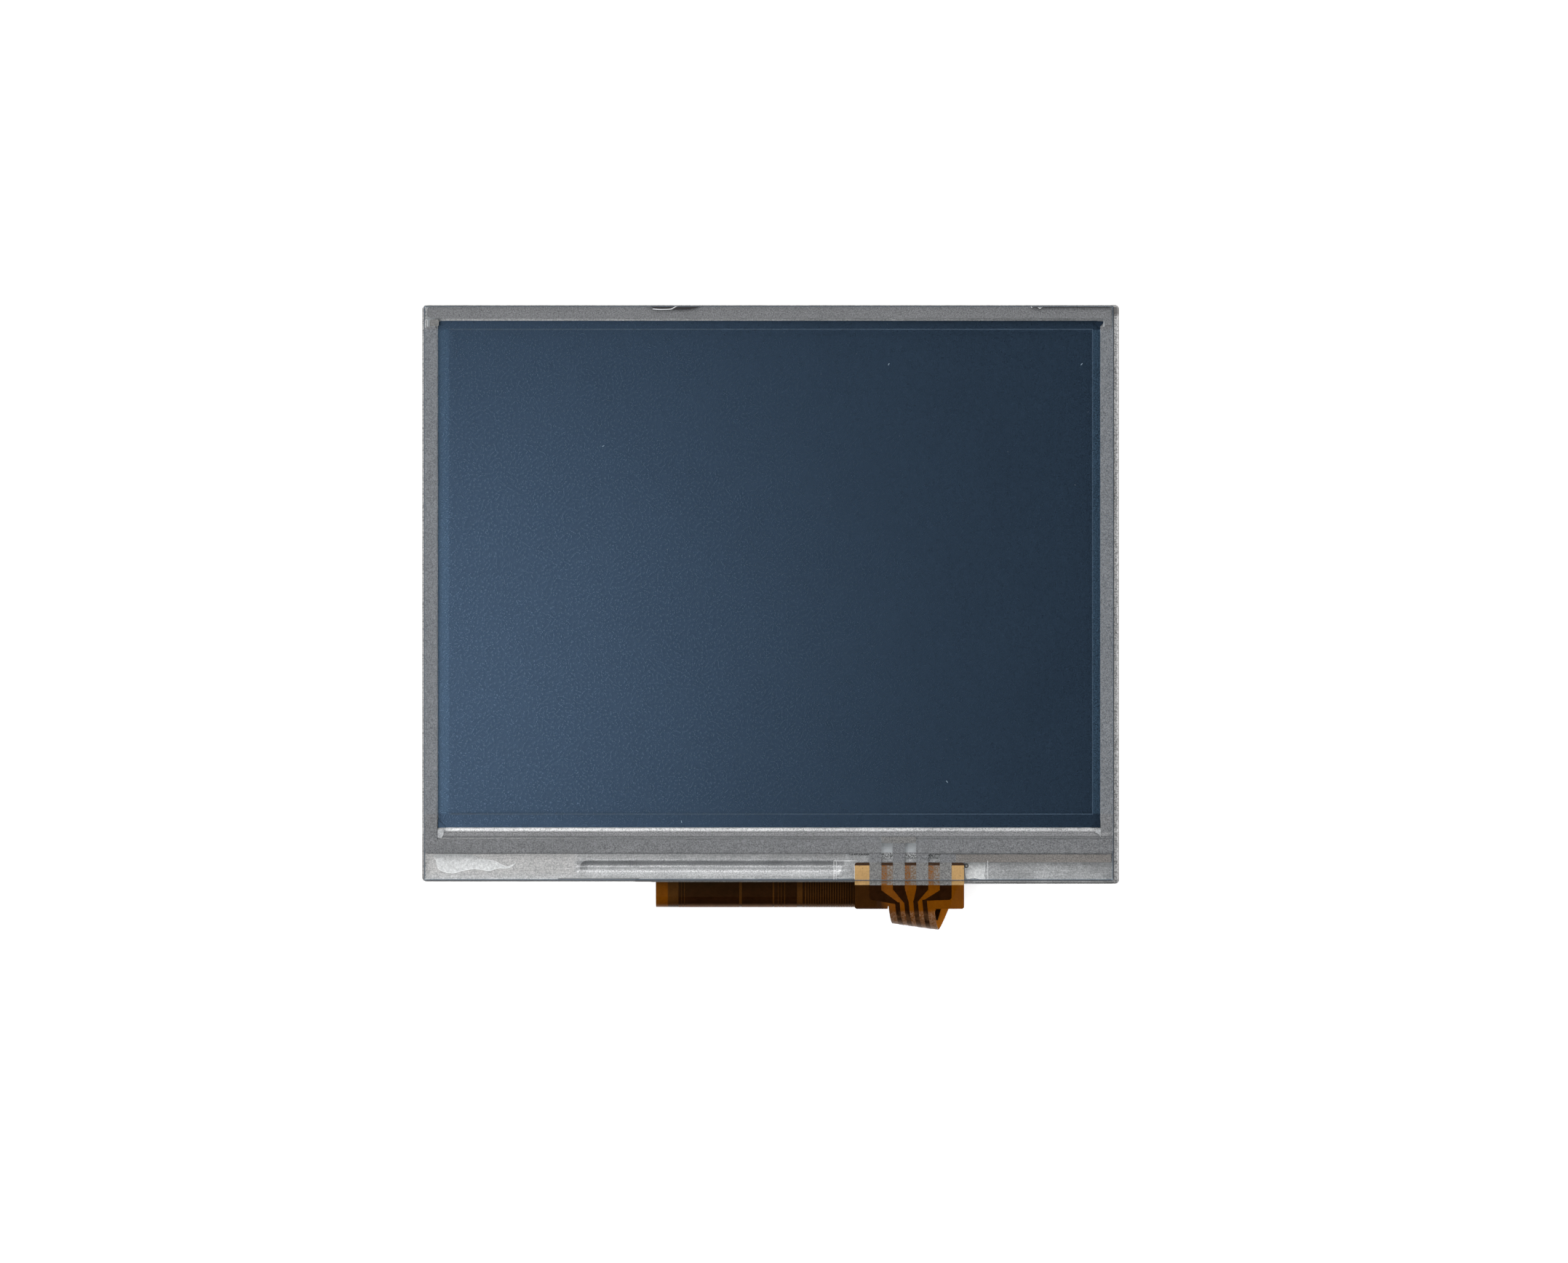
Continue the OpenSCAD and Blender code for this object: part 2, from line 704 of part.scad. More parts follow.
module rear_polariser() {
    color([0.2, 0.22, 0.25]) layer(z_rear_polariser, z_array)
        rect_xy(-glass_x + polariser_inset, film_y0, glass_x - polariser_inset, glass_y1 - polariser_inset);
}

// ---------- backlight ----------

module rim_tape() {
    edge = 0.75;
    color([0.12, 0.12, 0.12]) layer(z_rim_tape, z_rear_polariser) difference() {
        rect_xy(-glass_x + 0.1, led_bay_y0 + 0.1, glass_x - 0.1, glass_y1 - 0.1);
        rect_xy(-film_x + edge, film_y0 + edge, film_x - edge, film_y1 - edge);
    }
}

module upper_diffuser() {
    color("white") layer(z_upper_diffuser, z_rim_tape) film_outline();
}

module upper_prism_film() {
    color("aliceblue") layer(z_upper_prism, z_upper_diffuser) film_outline();
}

module lower_prism_film() {
    color("aliceblue") layer(z_lower_prism, z_upper_prism) film_outline();
}

module lower_diffuser() {
    color("white") layer(z_lower_diffuser, z_lower_prism) film_outline();
}

module light_guide() {
    color("azure") layer(z_guide, z_lower_diffuser) film_outline();
}

module reflector() {
    color("white") layer(z_reflector, z_guide) film_outline();
}

// Places of the diodes along the lower edge of the light guide
function led_x(i) = (i - (led_count - 1) / 2) * (2 * led_bay_x - led_l - 1) / (led_count - 1);

module leds() {
    y1 = film_y0 - led_gap;
    color("lightyellow") for (i = [0 : led_count - 1]) layer(z_guide, z_lower_diffuser)
        rect_xy(led_x(i) - led_l / 2, y1 - led_d, led_x(i) + led_l / 2, y1);
}

led_ramp = 0.8;
led_solder_l = 1.2;
led_tail_gap = 0.2;
led_tail_x0 = main_x0 - 2 * led_slot_l - led_ramp;
led_tail_y0 = led_bay_y0 + led_tail_gap;

// Strip that carries the diodes, with a tail that steps through the back plate onto the main flex
module led_flex() {
    t = reflector_t;
    inside = z_reflector;
    behind = z_plate - t;
    on_flex = z_plate - pad_t - main_t - copper_t - t;
    path = [
        [led_tail_x0, inside], [led_tail_x0 + led_ramp, inside],
        [led_tail_x0 + led_slot_l - led_ramp, behind],
        [main_x0 - led_solder_l, behind], [main_x0 - led_tail_gap, on_flex], [main_x0 + led_solder_l, on_flex]
    ];
    color([0.7, 0.45, 0.12]) {
        layer(z_reflector, z_guide) {
            rect_xy(
                -led_bay_x + led_tail_gap, led_tail_y0 + led_tail_w,
                led_bay_x - led_tail_gap, film_y0 - led_gap
            );
            rect_xy(led_tail_x0 - led_slot_l, led_tail_y0, led_tail_x0, led_tail_y0 + led_tail_w);
        }
        run_y(led_tail_y0, led_tail_y0 + led_tail_w) polygon(concat(
            path, [for (i = [len(path) - 1 : -1 : 0]) path[i] + [0, t]]
        ));
    }
}

// ---------- moulded frame and back plate ----------

// Outline of the module, set in all round, with its lower edge stepped like the bezel's
module stepped_outline(inset, r) {
    rect_xy(-half_w + inset, left_bottom + inset, half_w - inset, half_h - inset, r);
    rect_xy(step_x + inset, -half_h + inset, half_w - inset, half_h - inset, r);
}

module mid_frame() {
    color("white") difference() {
        union() {
            layer(z_skirt - fit_gap, z_bezel - fit_gap)
                stepped_outline(mould_inset, corner_r - mould_inset + 0.1);
            layer(z_rim, z_skirt - fit_gap) stepped_outline(0, corner_r);
            at_clips(clip_l - 0.3, clip_h - 0.2, mould_inset + 0.1, -0.03);
        }
        layer(z_rim_tape, z_bezel + eps)
            rect_xy(-glass_x - glass_gap, led_bay_y0, glass_x + glass_gap, glass_y1 + glass_gap);
        layer(z_array, z_bezel + eps)
            rect_xy(-glass_x - glass_gap, glass_y0 - glass_gap, glass_x + glass_gap, led_bay_y0 + eps);
        layer(z_reflector, z_rim_tape + eps) {
            film_outline(glass_gap);
            rect_xy(-led_bay_x, led_bay_y0, led_bay_x, film_y0);
        }
        layer(z_plate, z_reflector) plate_outline();
        layer(z_rim - eps, z_plate + eps) rect_xy(-rear_x, rear_y0, rear_x, rear_y1, 0.6);
        layer(z_seal - 0.1, z_bezel + eps)
            rect_xy(main_x0 - main_slot_gap, -half_h - 1, step_x, glass_y0);
        layer(z_rim - eps, z_plate + eps) rect_xy(notch_x0, -half_h - 1, notch_x1, rear_y0 + 1);
        layer(z_bezel - channel_d - fit_gap, z_bezel + eps)
            rect_xy(channel_x0 - 1, -half_h - 1, channel_x0 + channel_l + 1, glass_y0);
    }
}

module plate_outline() {
    rect_xy(-plate_x, plate_y0, plate_x, plate_y1, 1);
}

module back_plate() {
    color("gainsboro") difference() {
        union() {
            layer(z_plate, z_reflector) plate_outline();
            layer(z_plate - swage_d, z_plate) swage_outline(0);
        }
        layer(z_reflector - swage_d, z_reflector + eps) swage_outline(plate_t);
        layer(z_plate - eps, z_reflector + eps) rect_xy(
            led_tail_x0 + led_tail_gap, led_tail_y0 - led_tail_gap,
            led_tail_x0 + led_slot_l, led_tail_y0 + led_tail_w + led_tail_gap, led_tail_gap
        );
    }
}

// Panel pressed in the upper half of the back plate, which stiffens it
module swage_outline(inset) {
    rect_xy(
        -rear_x + swage_edge + inset, main_end_y + swage_edge / 2 + inset,
        rear_x - swage_edge - inset, rear_y1 - swage_edge - inset, 2
    );
}

// ---------- main flex ----------

// Section of the fold between two radii: a leg on the glass, half a turn, and a leg up the back
module fold_section(r_in, r_out, front_end, back_end) {
    z = (main_z_front + main_z_back) / 2;
    t = r_out - r_in;
    translate([main_fold_y, z]) intersection() {
        difference() {
            circle(r = r_out);
            circle(r = r_in);
        }
        translate([-2 * r_out, -2 * r_out]) square([2 * r_out, 4 * r_out]);
    }
    translate([main_fold_y, z + r_in]) square([front_end - main_fold_y, t]);
    translate([main_fold_y, z - r_out]) square([back_end - main_fold_y, t]);
}

main_r_in = main_fold_r - main_t / 2;
main_r_out = main_fold_r + main_t / 2;

module main_flex() {
    shoulder_y = main_body_y1 + main_neck + 0.3;
    color([0.6, 0.35, 0.06]) {
        run_x(main_x0, main_x1)
            fold_section(main_r_in, main_r_out, glass_y0 + main_bond_l, main_body_y1);
        layer(z_plate - pad_t - main_t, z_plate - pad_t) polygon([
            [main_x0, main_body_y1], [main_x1, main_body_y1],
            [main_x1 - main_neck, shoulder_y], [main_x1 - main_neck, main_end_y],
            [main_x0 + main_neck, main_end_y], [main_x0 + main_neck, shoulder_y]
        ]);
    }
}

// Copper planes and single traces across the fold, each as its distance from the left edge and its width
copper_planes = [
    [2.5, 0.3], [2.85, 0.28], [3.2, 6], [9.5, 3.4], [13.07, 0.4], [13.55, 0.25],
    [13.88, 0.3], [14.28, 1.3], [16.2, 0.25]
];
fine_start = 16.6;
fine_pitch = 0.275;
fine_w = 0.17;
copper_margin = 0.6;

module main_flex_copper() {
    fine_count = floor((main_w - copper_margin - fine_start) / fine_pitch);
    fine = [for (i = [0 : fine_count - 1]) [fine_start + i * fine_pitch, fine_w]];
    color([0.3, 0.15, 0.05]) {
        for (c = concat(copper_planes, fine)) run_x(main_x0 + c[0], main_x0 + c[0] + c[1])
            fold_section(main_r_out, main_r_out + copper_t, glass_y0 + main_bond_l - 0.1, glass_y0 - 0.6);
        layer(z_plate - pad_t - main_t - copper_t, z_plate - pad_t - main_t) for (i = [0 : contact_count - 1])
            rect_xy(
                contact_x(i) - contact_pitch * 0.3, main_body_y1 - 1,
                contact_x(i) + contact_pitch * 0.3, main_end_y - contact_l
            );
    }
}

function contact_x(i) = main_mid_x + (i - (contact_count - 1) / 2) * contact_pitch;

module main_contacts() {
    half = contact_pitch * contact_part / 2;
    color("gold") for (i = [0 : contact_count - 1])
        layer(z_plate - pad_t - main_t - copper_t, z_plate - pad_t - main_t)
            rect_xy(
                contact_x(i) - half, main_end_y - contact_l,
                contact_x(i) + half, main_end_y - contact_end
            );
}

module main_stiffener() {
    color([0.75, 0.5, 0.15]) layer(z_plate - pad_t, z_plate)
        rect_xy(
            main_mid_x - main_tail_w / 2, main_end_y - stiffener_l,
            main_mid_x + main_tail_w / 2, main_end_y
        );
}

// Small parts soldered on the back of the main flex: two rows of capacitors and one of resistors
function part_row_y(i) = rear_y0 + 1.2 * part_row + i * part_row;

module chip_part(x, y, l, w) {
    layer(z_plate - pad_t - main_t - part_h, z_plate - pad_t - main_t)
        rect_xy(x - l / 2, y - w / 2, x + l / 2, y + w / 2);
}

module flex_capacitors() {
    color("tan") for (row = [0, 1], i = [-3 : 3])
        chip_part(main_mid_x + i * capacitor_pitch, part_row_y(row), capacitor_l, part_w);
}

module flex_resistors() {
    color([0.1, 0.1, 0.1]) for (i = [-1.5 : 1.5])
        chip_part(main_mid_x + i * 1.6 * capacitor_pitch, part_row_y(2), part_w, resistor_l);
}

// Double-sided pads that hold both flexes on the back plate
module flex_tape_pads() {
    side = tail_w * 0.12;
    edge = main_neck * 1.5;
    color("khaki") layer(z_plate - pad_t, z_plate) {
        rect_xy(main_x0 + edge, rear_y0 + 2 * edge, main_x1 - edge, main_body_y1 - 2 * edge);
        in_tail_frame() rear_strip(side, tail_w - side, tail_back * 0.25, tail_back * 0.6);
    }
}

touch_film();
upper_electrode_print();
spacer_tape();
lower_electrode_print();
touch_glass();
touch_flex();
touch_flex_copper();
touch_bond_strips();
touch_contacts();
touch_stiffener();
touch_gasket();
front_bezel();
front_polariser();
colour_filter_glass();
cell_seal();
array_glass();
driver_chip();
rear_polariser();
rim_tape();
upper_diffuser();
upper_prism_film();
lower_prism_film();
lower_diffuser();
light_guide();
reflector();
led_flex();
leds();
mid_frame();
back_plate();
main_flex();
main_flex_copper();
main_contacts();
main_stiffener();
flex_capacitors();
flex_resistors();
flex_tape_pads();
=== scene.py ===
import math

import bmesh
import bpy
from bpy.props import FloatProperty, FloatVectorProperty, IntProperty, PointerProperty
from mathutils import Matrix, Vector


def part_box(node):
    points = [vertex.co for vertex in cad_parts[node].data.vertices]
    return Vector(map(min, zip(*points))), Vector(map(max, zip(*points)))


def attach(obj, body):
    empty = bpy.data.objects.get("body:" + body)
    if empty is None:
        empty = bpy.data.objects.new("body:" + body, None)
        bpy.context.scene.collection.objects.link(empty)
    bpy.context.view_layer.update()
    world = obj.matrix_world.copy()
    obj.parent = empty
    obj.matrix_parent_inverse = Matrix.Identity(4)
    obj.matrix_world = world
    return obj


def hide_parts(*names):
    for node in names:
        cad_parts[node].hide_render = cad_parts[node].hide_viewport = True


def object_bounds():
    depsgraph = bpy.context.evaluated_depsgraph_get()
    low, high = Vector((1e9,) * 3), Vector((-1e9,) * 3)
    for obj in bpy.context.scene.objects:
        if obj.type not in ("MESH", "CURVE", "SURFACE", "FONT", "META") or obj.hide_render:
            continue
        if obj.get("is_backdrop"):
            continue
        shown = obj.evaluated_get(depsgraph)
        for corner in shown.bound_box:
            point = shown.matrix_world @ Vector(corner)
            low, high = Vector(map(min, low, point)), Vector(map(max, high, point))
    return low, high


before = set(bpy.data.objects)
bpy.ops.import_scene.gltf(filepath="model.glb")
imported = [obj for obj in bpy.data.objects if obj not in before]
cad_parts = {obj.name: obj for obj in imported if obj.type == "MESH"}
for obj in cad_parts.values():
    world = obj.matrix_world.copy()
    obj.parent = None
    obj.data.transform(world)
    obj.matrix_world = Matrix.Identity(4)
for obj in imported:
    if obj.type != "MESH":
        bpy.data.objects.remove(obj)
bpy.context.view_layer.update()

bl_info = {
    "name": "TFT display module finishes",
    "version": (1, 0, 0),
    "blender": (4, 5, 0),
    "location": "3D View > Sidebar > Display",
    "description": "Finishes, small parts and stage of a display module with a resistive touch panel",
    "category": "Object",
}

MM = 0.001
X_AXIS = (1.0, 0.0, 0.0)
Y_AXIS = (0.0, 1.0, 0.0)
Z_AXIS = (0.0, 0.0, 1.0)
# Beyond any part of the module, where a band has an open end
FAR = 1.0

# ---------- places taken from the frame ----------

BEZEL_LOW, BEZEL_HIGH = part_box("front_bezel")
PANEL_LOW, PANEL_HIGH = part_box("touch_glass")
FILM_LOW, FILM_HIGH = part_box("touch_film")
SPACER_LOW, SPACER_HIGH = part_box("spacer_tape")
GASKET_LOW, GASKET_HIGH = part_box("touch_gasket")
HEAD_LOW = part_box("touch_flex")[0]
STRIP_LOW, STRIP_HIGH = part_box("touch_bond_strips")
MAIN_LOW, MAIN_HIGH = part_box("main_flex")
HEAD_TOP = PANEL_LOW.y + 2.01 * MM
# The window of the bezel: left, lower, right and upper edge
WINDOW = (
    BEZEL_LOW.x + 1.80 * MM, BEZEL_LOW.y + 6.25 * MM, BEZEL_HIGH.x - 2.12 * MM, BEZEL_HIGH.y - 1.79 * MM,
)
# The hole of the spacer round the picture, in the same order
SPACER_HOLE = (
    WINDOW[0] + 1.22 * MM, WINDOW[1] + 1.52 * MM, WINDOW[2] - 0.90 * MM, WINDOW[3] - 1.00 * MM,
)
# Width of the ground edge of the panel, and the usual softness of a mask's edge
EDGE_LINE = 0.05 * MM
# Width of one printed lead of the touch panel, and the distance from one to the next
LEAD_W = 1.33 * MM
LEAD_PITCH = (STRIP_HIGH.x - STRIP_LOW.x - LEAD_W) / 3
# How far the slot in the folded flex leans: across by this much for each step along
SLOT_LEAN = 0.3
# Thickness of a printed or inked line
THIN = 0.01 * MM

# Tones painted on the bezel, partly painted highlights and painted shade: start and end from its left edge,
# lower and upper side above its lower edge and softness, all in millimetres, then amount and colour
STEEL_TONES_AND_PAINTED_LIGHT = (
    (-0.5, 17.5, 0.5, 5.6, 0.9, 0.9, (0.49, 0.482, 0.474)),
    # Painted shade: the flat band above the channel of the lower border, darker than at the left
    (17.0, 46.6, 2.66, 5.6, 0.2, 0.6, (0.40, 0.40, 0.40)),
    # Painted highlight: the bright lip under the window's lower edge
    (0.0, 76.9, 5.74, 6.18, 0.08, 0.9, (0.95, 0.95, 0.95)),
    (0.3, 2.3, 61.2, 62.6, 0.2, 0.6, (0.24, 0.24, 0.245)),
    # Painted shade and painted highlights: the dark and bright lines across the channel of the lower border
    (17.0, 46.6, 2.08, 2.62, 0.12, 0.75, (0.24, 0.24, 0.245)),
    (17.0, 46.6, 1.88, 2.06, 0.07, 0.8, (0.90, 0.90, 0.91)),
    (17.0, 46.6, 1.64, 1.86, 0.10, 0.6, (0.30, 0.30, 0.305)),
    (17.0, 46.6, 1.28, 1.58, 0.12, 0.7, (0.85, 0.85, 0.86)),
    (17.0, 46.6, 0.62, 1.22, 0.30, 0.5, (0.34, 0.34, 0.34)),
    # Painted shade: the dark lines along the bent lower edge
    (15.0, 24.0, 0.46, 0.72, 0.08, 0.8, (0.10, 0.095, 0.09)),
    (23.5, 47.8, 0.0, 0.66, 0.10, 0.95, (0.09, 0.085, 0.08)),
    (61.0, 76.9, 0.09, 0.21, 0.04, 0.8, (0.12, 0.115, 0.11)),
    (61.0, 76.9, 0.37, 0.49, 0.04, 0.7, (0.16, 0.155, 0.15)),
    (75.9, 77.5, 62.6, 64.5, 0.30, 0.85, (0.10, 0.095, 0.09)),
    (76.72, 77.5, 0.0, 64.5, 0.06, 0.75, (0.22, 0.215, 0.21)),
    (-0.6, 0.14, 0.0, 64.5, 0.06, 0.75, (0.22, 0.215, 0.21)),
)

# Lines and tones along the printed routes: start from the panel's left edge, lower and upper side above
# its lower edge, all in millimetres, then amount and colour
PRINT_LINES = (
    (58.5, 1.97, 2.88, 0.6, (0.205, 0.180, 0.155)),
    (0.0, 2.90, 3.06, 0.55, (0.07, 0.07, 0.07)),
    (1.5, 4.90, 5.30, 0.7, (0.27, 0.27, 0.275)),
    (74.7, 60.97, 61.07, 0.7, (0.05, 0.05, 0.05)),
    (1.5, 4.76, 4.86, 0.6, (0.08, 0.08, 0.08)),
    (1.5, 4.54, 4.64, 0.6, (0.07, 0.07, 0.07)),
)

# Fixed tones that the finishes blend in, from the panel down to the flexes
TONES = {
    # Painted shade: the dark line along the rim of the panel's top
    "panel rim shade": (0.05, 0.05, 0.055),
    "glass edge": (0.26, 0.33, 0.31),
    "film edge": (0.55, 0.57, 0.58),
    "cell glass": (0.30, 0.36, 0.36),
    "steel scratch": (0.93, 0.93, 0.93),
    "steel fleck": (0.80, 0.80, 0.80),
    "steel pit": (0.20, 0.195, 0.19),
    # Painted shade on the upright bends of the bezel
    "steel bend shade": (0.16, 0.155, 0.15),
    "plate scratch": (0.85, 0.85, 0.85),
    "dust on display": (0.30, 0.32, 0.34),
    "dust on moulding": (0.42, 0.41, 0.39),
    "dark bubbles": (0.10, 0.10, 0.10),
    "light bubbles": (0.62, 0.63, 0.63),
    "flex edge": (0.30, 0.14, 0.03),
    "flex over copper": (0.060, 0.022, 0.004),
    "flex over flex": (0.033, 0.011, 0.002),
    "bond glue dark": (0.20, 0.13, 0.08),
    "bond glue light": (0.24, 0.22, 0.20),
    "bond glue amber": (0.22, 0.085, 0.02),
    "pad speck": (0.20, 0.14, 0.08),
    "coverlay step": (0.05, 0.026, 0.013),
    # Painted sheen near the fold of the touch tail, on the coverlay and on the copper
    "coverlay fold sheen": (0.240, 0.128, 0.070),
    "copper fold sheen": (0.070, 0.031, 0.013),
    # Painted light: the shaded rear ply under the fold, brightened well beyond the coverlay's colour
    "painted light inside fold": (0.75, 0.23, 0.006),
    "slot": (0.030, 0.010, 0.002),
    "copper edge": (0.20, 0.08, 0.02),
    "flex gloss": (1.0, 0.62, 0.25),
}

# Plain sheets, mouldings and drops of glue: colour, roughness, how cloudy they are, the size of a cloud in
# millimetres, the strength of their relief, and the CAD nodes that they finish
SHEETS = {
    "gasket_adhesive": ((0.55, 0.58, 0.60), 0.4, 0.10, 1.0, 0.1, "touch_gasket"),
    "spacer_edge": ((0.032, 0.060, 0.098), 0.4, 0.35, 0.4, 0.1),
    "pocket_edge": ((0.72, 0.73, 0.73), 0.4, 0.15, 0.8, 0.1),
    "tick_ink": ((0.045, 0.043, 0.042), 0.6, 0.1, 0.2, 0.1),
    "corner_loop": ((0.80, 0.81, 0.82), 0.4, 0.05, 3.0, 0.1),
    "wet_adhesive": ((0.70, 0.71, 0.71), 0.25, 0.30, 0.35, 0.4),
    "adhesive_rim": ((0.84, 0.85, 0.85), 0.3, 0.16, 0.5, 0.3),
    "glue_ring": ((0.09, 0.08, 0.07), 0.35, 0.1, 0.3, 0.2),
    "seal_resin": ((0.10, 0.10, 0.10), 0.5, 0.05, 3.0, 0.1, "cell_seal"),
    "driver_silicon": ((0.035, 0.038, 0.045), 0.22, 0.15, 0.6, 0.1, "driver_chip"),
    "black_tape": ((0.012, 0.012, 0.013), 0.55, 0.2, 3.0, 0.1, "rim_tape"),
    "optical_film": (
        (0.80, 0.82, 0.83), 0.35, 0.05, 3.0, 0.1,
        "upper_diffuser", "upper_prism_film", "lower_prism_film", "lower_diffuser", "reflector",
    ),
    "guide_acrylic": ((0.70, 0.76, 0.78), 0.12, 0.03, 2.0, 0.05, "light_guide"),
    "diode_package": ((0.72, 0.68, 0.45), 0.4, 0.05, 3.0, 0.1, "leds"),
    "strip_polyimide": ((0.42, 0.22, 0.04), 0.35, 0.1, 1.0, 0.1, "led_flex"),
    "stiffener_sheet": ((0.55, 0.38, 0.13), 0.4, 0.1, 0.5, 0.3, "main_stiffener", "touch_stiffener"),
    "mounting_tape": ((0.70, 0.66, 0.55), 0.6, 0.06, 3.0, 0.1, "flex_tape_pads"),
    "capacitor_ceramic": ((0.36, 0.24, 0.13), 0.45, 0.08, 0.3, 0.3),
    "resistor_glaze": ((0.02, 0.02, 0.022), 0.25, 0.2, 0.3, 0.1),
    "dot_resin": ((0.03, 0.05, 0.075), 0.4, 0.05, 3.0, 0.1),
    "dust_lint": ((0.16, 0.19, 0.22), 0.7, 0.2, 0.1, 0.3),
    "pale_lint": ((0.30, 0.40, 0.50), 0.6, 0.1, 0.2, 0.1),
    # Painted highlight at the ends of the window's lip
    "bright_steel": ((0.43, 0.44, 0.45), 0.45, 0.40, 0.3, 0.4),
    # Fibre and painted highlight at the chipped upper edge of the panel
    "edge_lint": ((0.86, 0.87, 0.88), 0.6, 0.05, 3.0, 0.1),
    "edge_chips": ((0.022, 0.017, 0.016), 0.8, 0.4, 0.3, 0.5),
}

# ---------- sizes and colours that a user may change ----------


def colour_setting(name, description, default):
    return FloatVectorProperty(
        name=name, description=description, default=default, subtype="COLOR", size=3, min=0.0, max=1.0,
    )


def length_setting(name, description, default, **more):
    return FloatProperty(name=name, description=description, default=default, unit="LENGTH", **more)


def size_setting(name, description, default):
    return length_setting(name, description, default, subtype="DISTANCE", min=0.0)


def share_setting(name, description, default):
    return FloatProperty(
        name=name, description=description, default=default, subtype="FACTOR", min=0.0, max=1.0,
    )


def level_setting(name, description, default, **unit):
    return FloatProperty(name=name, description=description, default=default, min=0.0, **unit)


class PanelFinish(bpy.types.PropertyGroup):
    """Film, glass, prints and display cell."""

    film_haze: colour_setting("Film haze", "Colour that the matte hard coat scatters", (0.24, 0.48, 0.74))
    film_cover: share_setting("Film cover", "Share of the view that the film's haze takes", 0.009)
    border_cover: share_setting(
        "Border cover", "Share that the spacer's haze adds at both sides of the picture", 0.03,
    )
    # Painted shade: a dark line along the rim of the panel's top
    rim_shade_cover: share_setting("Rim cover", "Share of the view that the ground rim of the panel takes", 0.8)
    film_grain: size_setting("Film grain", "Size of one grain of the matte hard coat", 0.125 * MM)
    print_grey: colour_setting(
        "Silver print", "Colour of the printed silver conductors", (0.180, 0.183, 0.189),
    )
    polariser: colour_setting("Polariser", "Colour of the display behind the window", (0.0003, 0.002, 0.005))
    polariser_gloss: colour_setting(
        "Polariser gloss", "Tint of the light that the display mirrors", (0.40, 0.63, 1.0),
    )


class MetalFinish(bpy.types.PropertyGroup):
    """Bezel and back plate."""

    steel: colour_setting("Bezel steel", "Colour of the bezel sheet", (0.52, 0.525, 0.53))
    steel_roughness: share_setting("Bezel roughness", "Roughness of the bezel sheet", 0.42)
    plate: colour_setting("Back plate", "Colour of the back plate", (0.68, 0.69, 0.70))
    moulding: colour_setting("Moulding", "Colour of the white moulding", (0.82, 0.83, 0.82))


class FlexFinish(bpy.types.PropertyGroup):
    """Flexible circuits."""

    coverlay: colour_setting("Coverlay", "Colour of the coverlay over the flex", (0.155, 0.045, 0.0012))
    bare: colour_setting("Bare film", "Colour of the flex beside its coverlay", (0.525, 0.328, 0.138))
    copper: colour_setting("Covered copper", "Colour of copper under the coverlay", (0.0150, 0.0045, 0.0012))
    gold: colour_setting("Contacts", "Colour of the plated contacts", (0.88, 0.64, 0.27))


class MarkSettings(bpy.types.PropertyGroup):
    """Small marks on and in the panel."""

    dot_pitch: size_setting("Dot pitch", "Distance between two spacer dots under the film", 2.0 * MM)
    dot_size: size_setting("Dot size", "Diameter of a spacer dot", 0.03 * MM)
    speck_count: IntProperty(name="Specks", description="Number of small dust specks", default=45, min=0)
    speck_seed: IntProperty(name="Speck seed", description="Places of the dust specks", default=7)
    speck_size: size_setting("Speck size", "Diameter of the largest dust speck", 0.10 * MM)


class StageSettings(bpy.types.PropertyGroup):
    """Camera, floor and lamps."""

    camera_height: size_setting("Camera height", "Height of the camera over the bezel", 480 * MM)
    camera_x: length_setting("Camera X", "Camera, right of the module's centre", 1.48 * MM)
    camera_y: length_setting("Camera Y", "Camera, above the module's centre", -4.09 * MM)
    room: level_setting("Room light", "Strength of the light from the bright side of the room", 1.75)
    shade: level_setting("Shaded side", "Strength of the light from the dark side of the room", 0.25)
    ceiling: level_setting("Ceiling", "Strength of the light from straight above", 0.05)
    key: level_setting("Left lamp", "Power of the large lamp at the left", 0.43, unit="POWER")
    back: level_setting("Top lamp", "Power of the strip lamp beyond the top", 0.1, unit="POWER")


GROUPS = {
    "panel_finish": PanelFinish,
    "metal_finish": MetalFinish,
    "flex_finish": FlexFinish,
    "mark_settings": MarkSettings,
    "stage_settings": StageSettings,
}


# ---------- node helpers ----------

SOCKETS = {float: "Float", int: "Int", tuple: "Vector", bpy.types.Material: "Material"}


# t is a tree of one of these three kinds in all that follows, and given are the inputs of a node group


